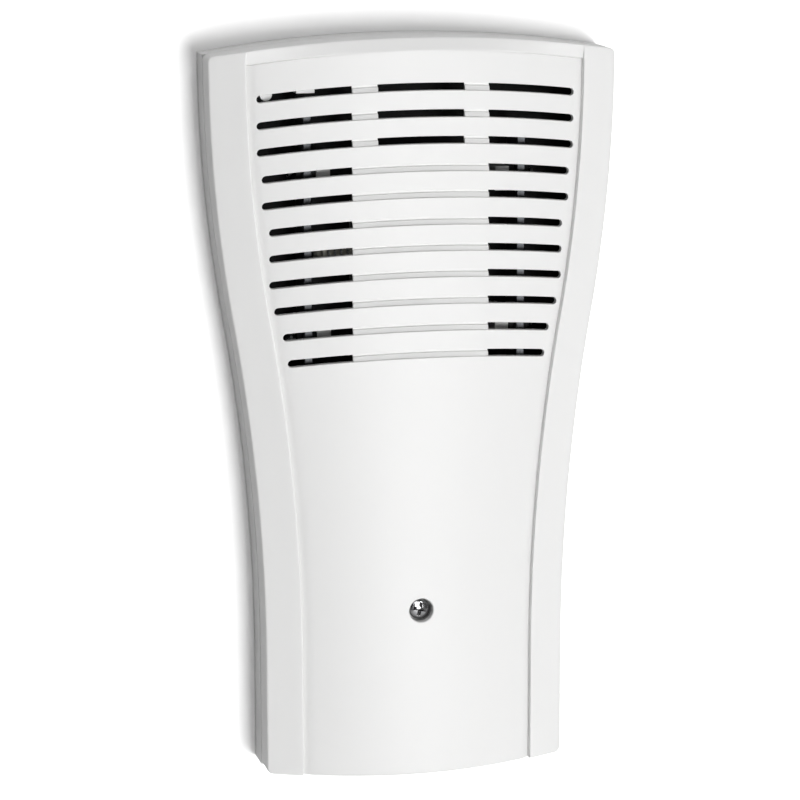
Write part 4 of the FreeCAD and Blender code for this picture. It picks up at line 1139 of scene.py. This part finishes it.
def bent_cutters(tree, skin, template, points, radius, fade, reach_of_fade):
    """Place a copy of the template on each point, bend it to the arch and lay it on the skin.

    Depths below the skin lose a share that grows from the centre line to the reach.
    """
    shape = tree.node("GeometryNodeObjectInfo", template).outputs["Geometry"]
    spots = tree.node("GeometryNodeObjectInfo", points).outputs["Geometry"]
    copies = tree.node("GeometryNodeInstanceOnPoints", spots, None, shape)
    solid = tree.node("GeometryNodeRealizeInstances", copies.outputs[0]).outputs[0]
    place = tree.node("ShaderNodeSeparateXYZ", tree.node("GeometryNodeInputPosition").outputs[0])
    along, deep, height = place.outputs
    start, finish = tree.named("start"), tree.named("finish")
    middle = tree.math("MULTIPLY", tree.math("ADD", start, finish), 0.5)
    reach = tree.math("MULTIPLY", tree.math("SUBTRACT", finish, start), 0.5)
    late = tree.math("GREATER_THAN", along, 0.0)
    roundness = tree.math("ADD", tree.math("MULTIPLY", late, tree.named("round_finish")),
                          tree.math("MULTIPLY", tree.math("SUBTRACT", 1.0, late),
                                    tree.named("round_start")))
    cap = tree.math("MULTIPLY", tree.named("cap"), roundness)
    x = tree.math("ADD", tree.math("MULTIPLY_ADD", along, reach, middle), cap)
    square = tree.math("SUBTRACT", tree.math("MULTIPLY", radius, radius), tree.math("MULTIPLY", x, x))
    drop = tree.math("SUBTRACT", radius, tree.math("SQRT", square))
    z = tree.math("SUBTRACT", tree.math("ADD", tree.named("crown"), height), drop)
    source = tree.node("ShaderNodeCombineXYZ", x, -0.2, z).outputs[0]
    ray = tree.node("GeometryNodeRaycast")
    tree.link(skin, ray.inputs["Target Geometry"])
    tree.link(source, ray.inputs["Source Position"])
    ray.inputs["Ray Direction"].default_value = (0.0, 1.0, 0.0)
    ray.inputs["Ray Length"].default_value = 1.0
    hit = tree.node("ShaderNodeSeparateXYZ", ray.outputs["Hit Position"]).outputs["Y"]
    share = tree.math("MINIMUM", tree.math("ABSOLUTE", tree.math("DIVIDE", x, reach_of_fade)), 1.0)
    kept = tree.math("SUBTRACT", 1.0, tree.math("MULTIPLY", fade, tree.math("POWER", share, 2.0)))
    below = tree.math("MULTIPLY", tree.math("MAXIMUM", deep, 0.0), kept)
    sunk = tree.math("ADD", tree.math("MINIMUM", deep, 0.0), below)
    final = tree.node("ShaderNodeCombineXYZ", x, tree.math("ADD", hit, sunk), z).outputs[0]
    return tree.node("GeometryNodeSetPosition", solid, None, final).outputs[0]


def cut(tree, body, cutters):
    boolean = tree.node("GeometryNodeMeshBoolean", operation="DIFFERENCE", solver="EXACT")
    tree.link(body, boolean.inputs["Mesh 1"])
    tree.link(cutters, boolean.inputs["Mesh 2"])
    return boolean.outputs["Mesh"]


def slot_tree():
    """Geometry Nodes: cut the arched grooves, then the parts of them that go right through."""
    tree = Tree("Sound slots")
    skin = tree.start.outputs["Geometry"]
    radius = tree.input("Arch Radius", "NodeSocketFloat", 0.33)
    reach = tree.input("Blind Half", "NodeSocketFloat", 0.01875)
    cutters = []
    for label in ("Groove", "Opening"):
        template = tree.input(label + " Shape", "NodeSocketObject")
        points = tree.input(label + " Rows", "NodeSocketObject")
        fade = tree.input(label + " Fade", "NodeSocketFloat", 0.0)
        cutters.append(bent_cutters(tree, skin, template, points, radius, fade, reach))
    material = tree.input("Material", "NodeSocketMaterial")
    body = cut(tree, cut(tree, skin, cutters[0]), cutters[1])
    body = tree.node("GeometryNodeRealizeInstances", body).outputs[0]
    painted = tree.node("GeometryNodeSetMaterial", body, None, material).outputs[0]
    tree.link(painted, tree.end.inputs[0])
    return tree.group


def add_nodes(obj, group, **values):
    """Put a Geometry Nodes group on an object, with its inputs set by name."""
    modifier = obj.modifiers.new(group.name, "NODES")
    modifier.node_group = group
    for item in group.interface.items_tree:
        if item.item_type == "SOCKET" and item.in_out == "INPUT":
            label = item.name.replace(" ", "_").lower()
            if label in values:
                modifier[item.identifier] = values[label]
    return modifier


def cut_slots(block, form):
    """The eleven arched slots: a full-length groove each, and its open parts.

    Both cutters start above the skin, where the exact boolean keeps the cover whole.
    """
    case = form.case
    half = case.slot_height / 2
    lip, floor, middle, low = (case.lip_round, case.groove_depth, case.groove_middle,
                               case.groove_low)
    arc = [(lip - lip * math.cos(a), lip - lip * math.sin(a))
           for a in map(math.radians, LIP_ANGLES)]
    groove = [(lip * LIP_WIDER, -1.0 * MM)] + arc + [(0.0, None)]
    hair = 0.02 * MM
    opening = [(-hair, -0.9 * MM), (-hair, 3.6 * MM)]
    rows = slot_rows(form)
    blind, rib, shift = BLIND_HALF * MM, RIB_INNER * MM, RIB_SHIFT * MM
    grooves = [(half - reach, reach - half, crown, 1, 1) for crown, reach in rows]
    openings = []
    for number, (crown, reach) in enumerate(rows):
        openings.append((half - reach, shift - blind, crown, 1, 0))
        openings.append((shift + blind, reach - half, crown, 0, 1))
        if number < RIBBED_ROWS:
            openings.append((shift - rib, shift + rib, crown, 0, 0))

    def groove_floor(share):
        """Depth of a blind groove from its lower lip at -1 to its upper lip at 1."""
        if share < DROP_FOOT:
            return low + (middle - low) * (share + 1) / (DROP_FOOT + 1)
        fallen = min((share - DROP_FOOT) / (DROP_TOP - DROP_FOOT), 1.0)
        return middle + (floor - middle) * fallen

    scratch = [slot_template("groove_shape", half, groove, scoop=groove_floor),
               slot_points("groove_rows", grooves),
               slot_template("opening_shape", half, opening, 12),
               slot_points("opening_rows", openings)]
    for item in (scratch[0], scratch[2]):
        outward(item)
    add_nodes(block, slot_tree(), arch_radius=case.slot_radius, blind_half=blind,
              groove_shape=scratch[0], groove_rows=scratch[1], groove_fade=case.groove_fade,
              opening_shape=scratch[2], opening_rows=scratch[3],
              material=finishes()["white_cover"])
    settle(block)
    for item in scratch:
        bpy.data.objects.remove(item, do_unlink=True)


def turned(name, centre, profile, steps=64, surface=None):
    """A closed solid of revolution about an axis along Y.

    A ring is its radius, its depth and whether that depth counts from the surface.
    """
    vertices = []
    for radius, depth, follows in profile:
        for number in range(steps):
            angle = 2 * math.pi * number / steps
            x = centre[0] + radius * math.cos(angle)
            z = centre[1] + radius * math.sin(angle)
            datum = surface(x, z) if follows else 0.0
            vertices.append((x, -(datum + depth), z))
    return ring_solid(name, vertices, len(profile), steps)


def combine(block, tool, operation):
    """Apply one boolean and drop the tool."""
    modifier = block.modifiers.new("combine", "BOOLEAN")
    modifier.operation = operation
    modifier.solver = "EXACT"
    modifier.object = tool
    settle(block)
    bpy.data.objects.remove(tool, do_unlink=True)


# Centre of the cover screw across and up, and its ridges: number and pitch in millimetres
SCREW_CENTRE = (0.0, (45.3 - 100.0) * MM)
RIDGES = 14
RIDGE_PITCH = 0.7
# Levels of the cross recess in millimetres: height above the head's top, reach and half width
CROSS_LEVELS = ((0.3, 2.05, 0.56), (0.0, 2.0, 0.5), (-1.0, 1.05, 0.36), (-1.45, 0.5, 0.3))


def cut_recess(block, form):
    """The cover screw's boss, recess and hole."""
    case = form.case
    radius = case.recess_radius
    floor = case.panel_depth - case.recess_depth
    boss = radius + 2 * MM
    under = floor - 3.5 * MM
    post = [(boss - 0.3 * MM, under, False), (boss, under + 0.3 * MM, False),
            (boss, case.panel_depth - 1.2 * MM, False)]
    combine(block, turned("boss", SCREW_CENTRE, post), "UNION")
    lip = 0.35 * MM
    hole = 1.7 * MM
    well = [(hole, under - 1 * MM, False), (hole, floor - 0.15 * MM, False),
            (hole + 0.15 * MM, floor, False), (radius - 0.2 * MM, floor, False),
            (radius, floor + 0.2 * MM, False)]
    well += [(radius + lip - lip * math.cos(a), lip * math.sin(a) - lip, True)
             for a in map(math.radians, reversed(LIP_ANGLES))]
    well.append((radius + lip * LIP_WIDER, 1 * MM, True))
    combine(block, turned("recess", SCREW_CENTRE, well, surface=form.front), "DIFFERENCE")


def cross_tool(centre, top, angle):
    """The tapered, four-armed shape of a cross driver's tip."""
    arms = 4
    vertices = []
    for rise, long, wide in CROSS_LEVELS:
        depth, reach, half = top + rise * MM, long * MM, wide * MM
        corners = ((half, -half), (reach, -half), (reach, half))
        for quarter in range(arms):
            turn = angle + quarter * math.pi / 2
            for along, across in corners:
                x = along * math.cos(turn) - across * math.sin(turn)
                z = along * math.sin(turn) + across * math.cos(turn)
                vertices.append((centre[0] + x, -depth, centre[1] + z))
    return ring_solid("cross_tool", vertices, len(CROSS_LEVELS), arms * len(corners))


def make_cover_screw(form):
    """Pan-headed screw with a cross recess and a ridged shank."""
    case = form.case
    seat = case.panel_depth - case.recess_depth
    radius, height, dome, edge = 2.95 * MM, 2.1 * MM, 12 * MM, 0.5 * MM
    core, crest, shank, chamfer = 1.18 * MM, 1.46 * MM, 1.45 * MM, 0.15 * MM
    edge_steps, dome_steps, cross_turn = 5, 9, -12
    profile = [(0.5 * MM, seat - 11.95 * MM, False), (1.1 * MM, seat - 11.2 * MM, False)]
    for ridge in range(RIDGES):
        start = seat - 10.8 * MM + ridge * RIDGE_PITCH * MM
        profile += [(core, start, False), (crest, start + 0.3 * MM, False),
                    (crest, start + 0.38 * MM, False), (core, start + 0.66 * MM, False)]
    profile += [(shank, seat - 0.4 * MM, False), (shank, seat, False),
                (radius - chamfer, seat, False), (radius, seat + chamfer, False)]
    rim = height - dome + math.sqrt(dome ** 2 - (radius - edge) ** 2)
    for number in range(edge_steps):
        turn = math.radians(90 / edge_steps * number)
        profile.append((radius - edge * (1 - math.cos(turn)),
                        seat + rim - edge * (1 - math.sin(turn)), False))
    for number in range(1, dome_steps):
        near = (radius - edge) * (1 - number / dome_steps)
        profile.append((near, seat + height - dome + math.sqrt(dome ** 2 - near ** 2), False))
    screw = turned("cover_screw_piece", SCREW_CENTRE, profile, 72)
    combine(screw, cross_tool(SCREW_CENTRE, seat + height, math.radians(cross_turn)), "DIFFERENCE")
    smooth(screw, 32.0)
    stand_for(screw, "cover_screw")


class CHIME_OT_cover(bpy.types.Operator):
    """The front shell, with its rounded edges, slots and recess"""

    bl_idname = "chime.cover"
    bl_label = "Cover"

    def execute(self, context):
        form = CaseForm(context.scene.chime_case)
        block = cover_block(form)
        cut_slots(block, form)
        cut_recess(block, form)
        smooth(block, 35.0)
        block.name = "cover_shell"
        stand_for(block, "cover")
        make_cover_screw(form)
        return {"FINISHED"}


def painted_shade_sheet(floor_depth, thick):
    """A thin near-black sheet on the base's floor, cut out round everything that stands on it. Its
    black is painted shade that darkens the inside seen through the slots.
    """
    gap = 0.02 * MM
    work = bmesh.new()
    work.from_mesh(frame["nodes"]["base"].data)
    bmesh.ops.remove_doubles(work, verts=work.verts, dist=MERGE_DISTANCE)
    away = [face for face in work.faces
            if face.normal.y > -0.99 or abs(face.calc_center_median().y + floor_depth) > 0.01 * MM]
    bmesh.ops.delete(work, geom=away, context="FACES")
    for vertex in work.verts:
        vertex.co.y = -floor_depth - gap
    raised = bmesh.ops.extrude_face_region(work, geom=list(work.faces), use_keep_orig=True)
    for item in raised["geom"]:
        if isinstance(item, bmesh.types.BMVert):
            item.co.y = -floor_depth - thick
    bmesh.ops.recalc_face_normals(work, faces=work.faces)
    mesh = bpy.data.meshes.new("floor_lining")
    work.to_mesh(mesh)
    work.free()
    return new_object("floor_lining", mesh)


class CHIME_OT_works(bpy.types.Operator):
    """Everything behind the cover, from the CAD's own solids"""

    bl_idname = "chime.works"
    bl_label = "Works"

    def execute(self, context):
        for node in frame["nodes"]:
            if node not in ("cover", "cover_screw"):
                stand_for(smooth_copy(node), node)
        # The sheet's near-black colour is painted shade for the inside of the case.
        sheet = painted_shade_sheet(floor_depth=2.0 * MM, thick=0.35 * MM)
        dress(sheet, finish_material("dark_lining", (0.02, 0.02, 0.021), (0.2, 300.0),
                                     ((1, 1, 1), 900.0), (0.8, 0.95), (0.3, 0.00005)))
        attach(sheet, "housing")
        return {"FINISHED"}


class CHIME_PT_panel(bpy.types.Panel):
    """The chime's operators"""

    bl_idname = "CHIME_PT_panel"
    bl_label = "Door chime"
    bl_space_type = "VIEW_3D"
    bl_region_type = "UI"
    bl_category = "Chime"

    def draw(self, context):
        for operator in OPERATORS:
            self.layout.operator(operator.bl_idname)


OPERATORS = (CHIME_OT_stage, CHIME_OT_cover, CHIME_OT_works)
CLASSES = (ChimeCase, ChimeFinish, ChimeStage) + OPERATORS + (CHIME_PT_panel,)


def register():
    for item in CLASSES:
        bpy.utils.register_class(item)
    bpy.types.Scene.chime_case = PointerProperty(type=ChimeCase)
    bpy.types.Scene.chime_finish = PointerProperty(type=ChimeFinish)
    bpy.types.Scene.chime_stage = PointerProperty(type=ChimeStage)


def unregister():
    del bpy.types.Scene.chime_stage
    del bpy.types.Scene.chime_finish
    del bpy.types.Scene.chime_case
    for item in reversed(CLASSES):
        bpy.utils.unregister_class(item)


def main():
    register()
    bpy.ops.chime.stage()
    bpy.ops.chime.cover()
    bpy.ops.chime.works()


if __name__ == "__main__":
    main()
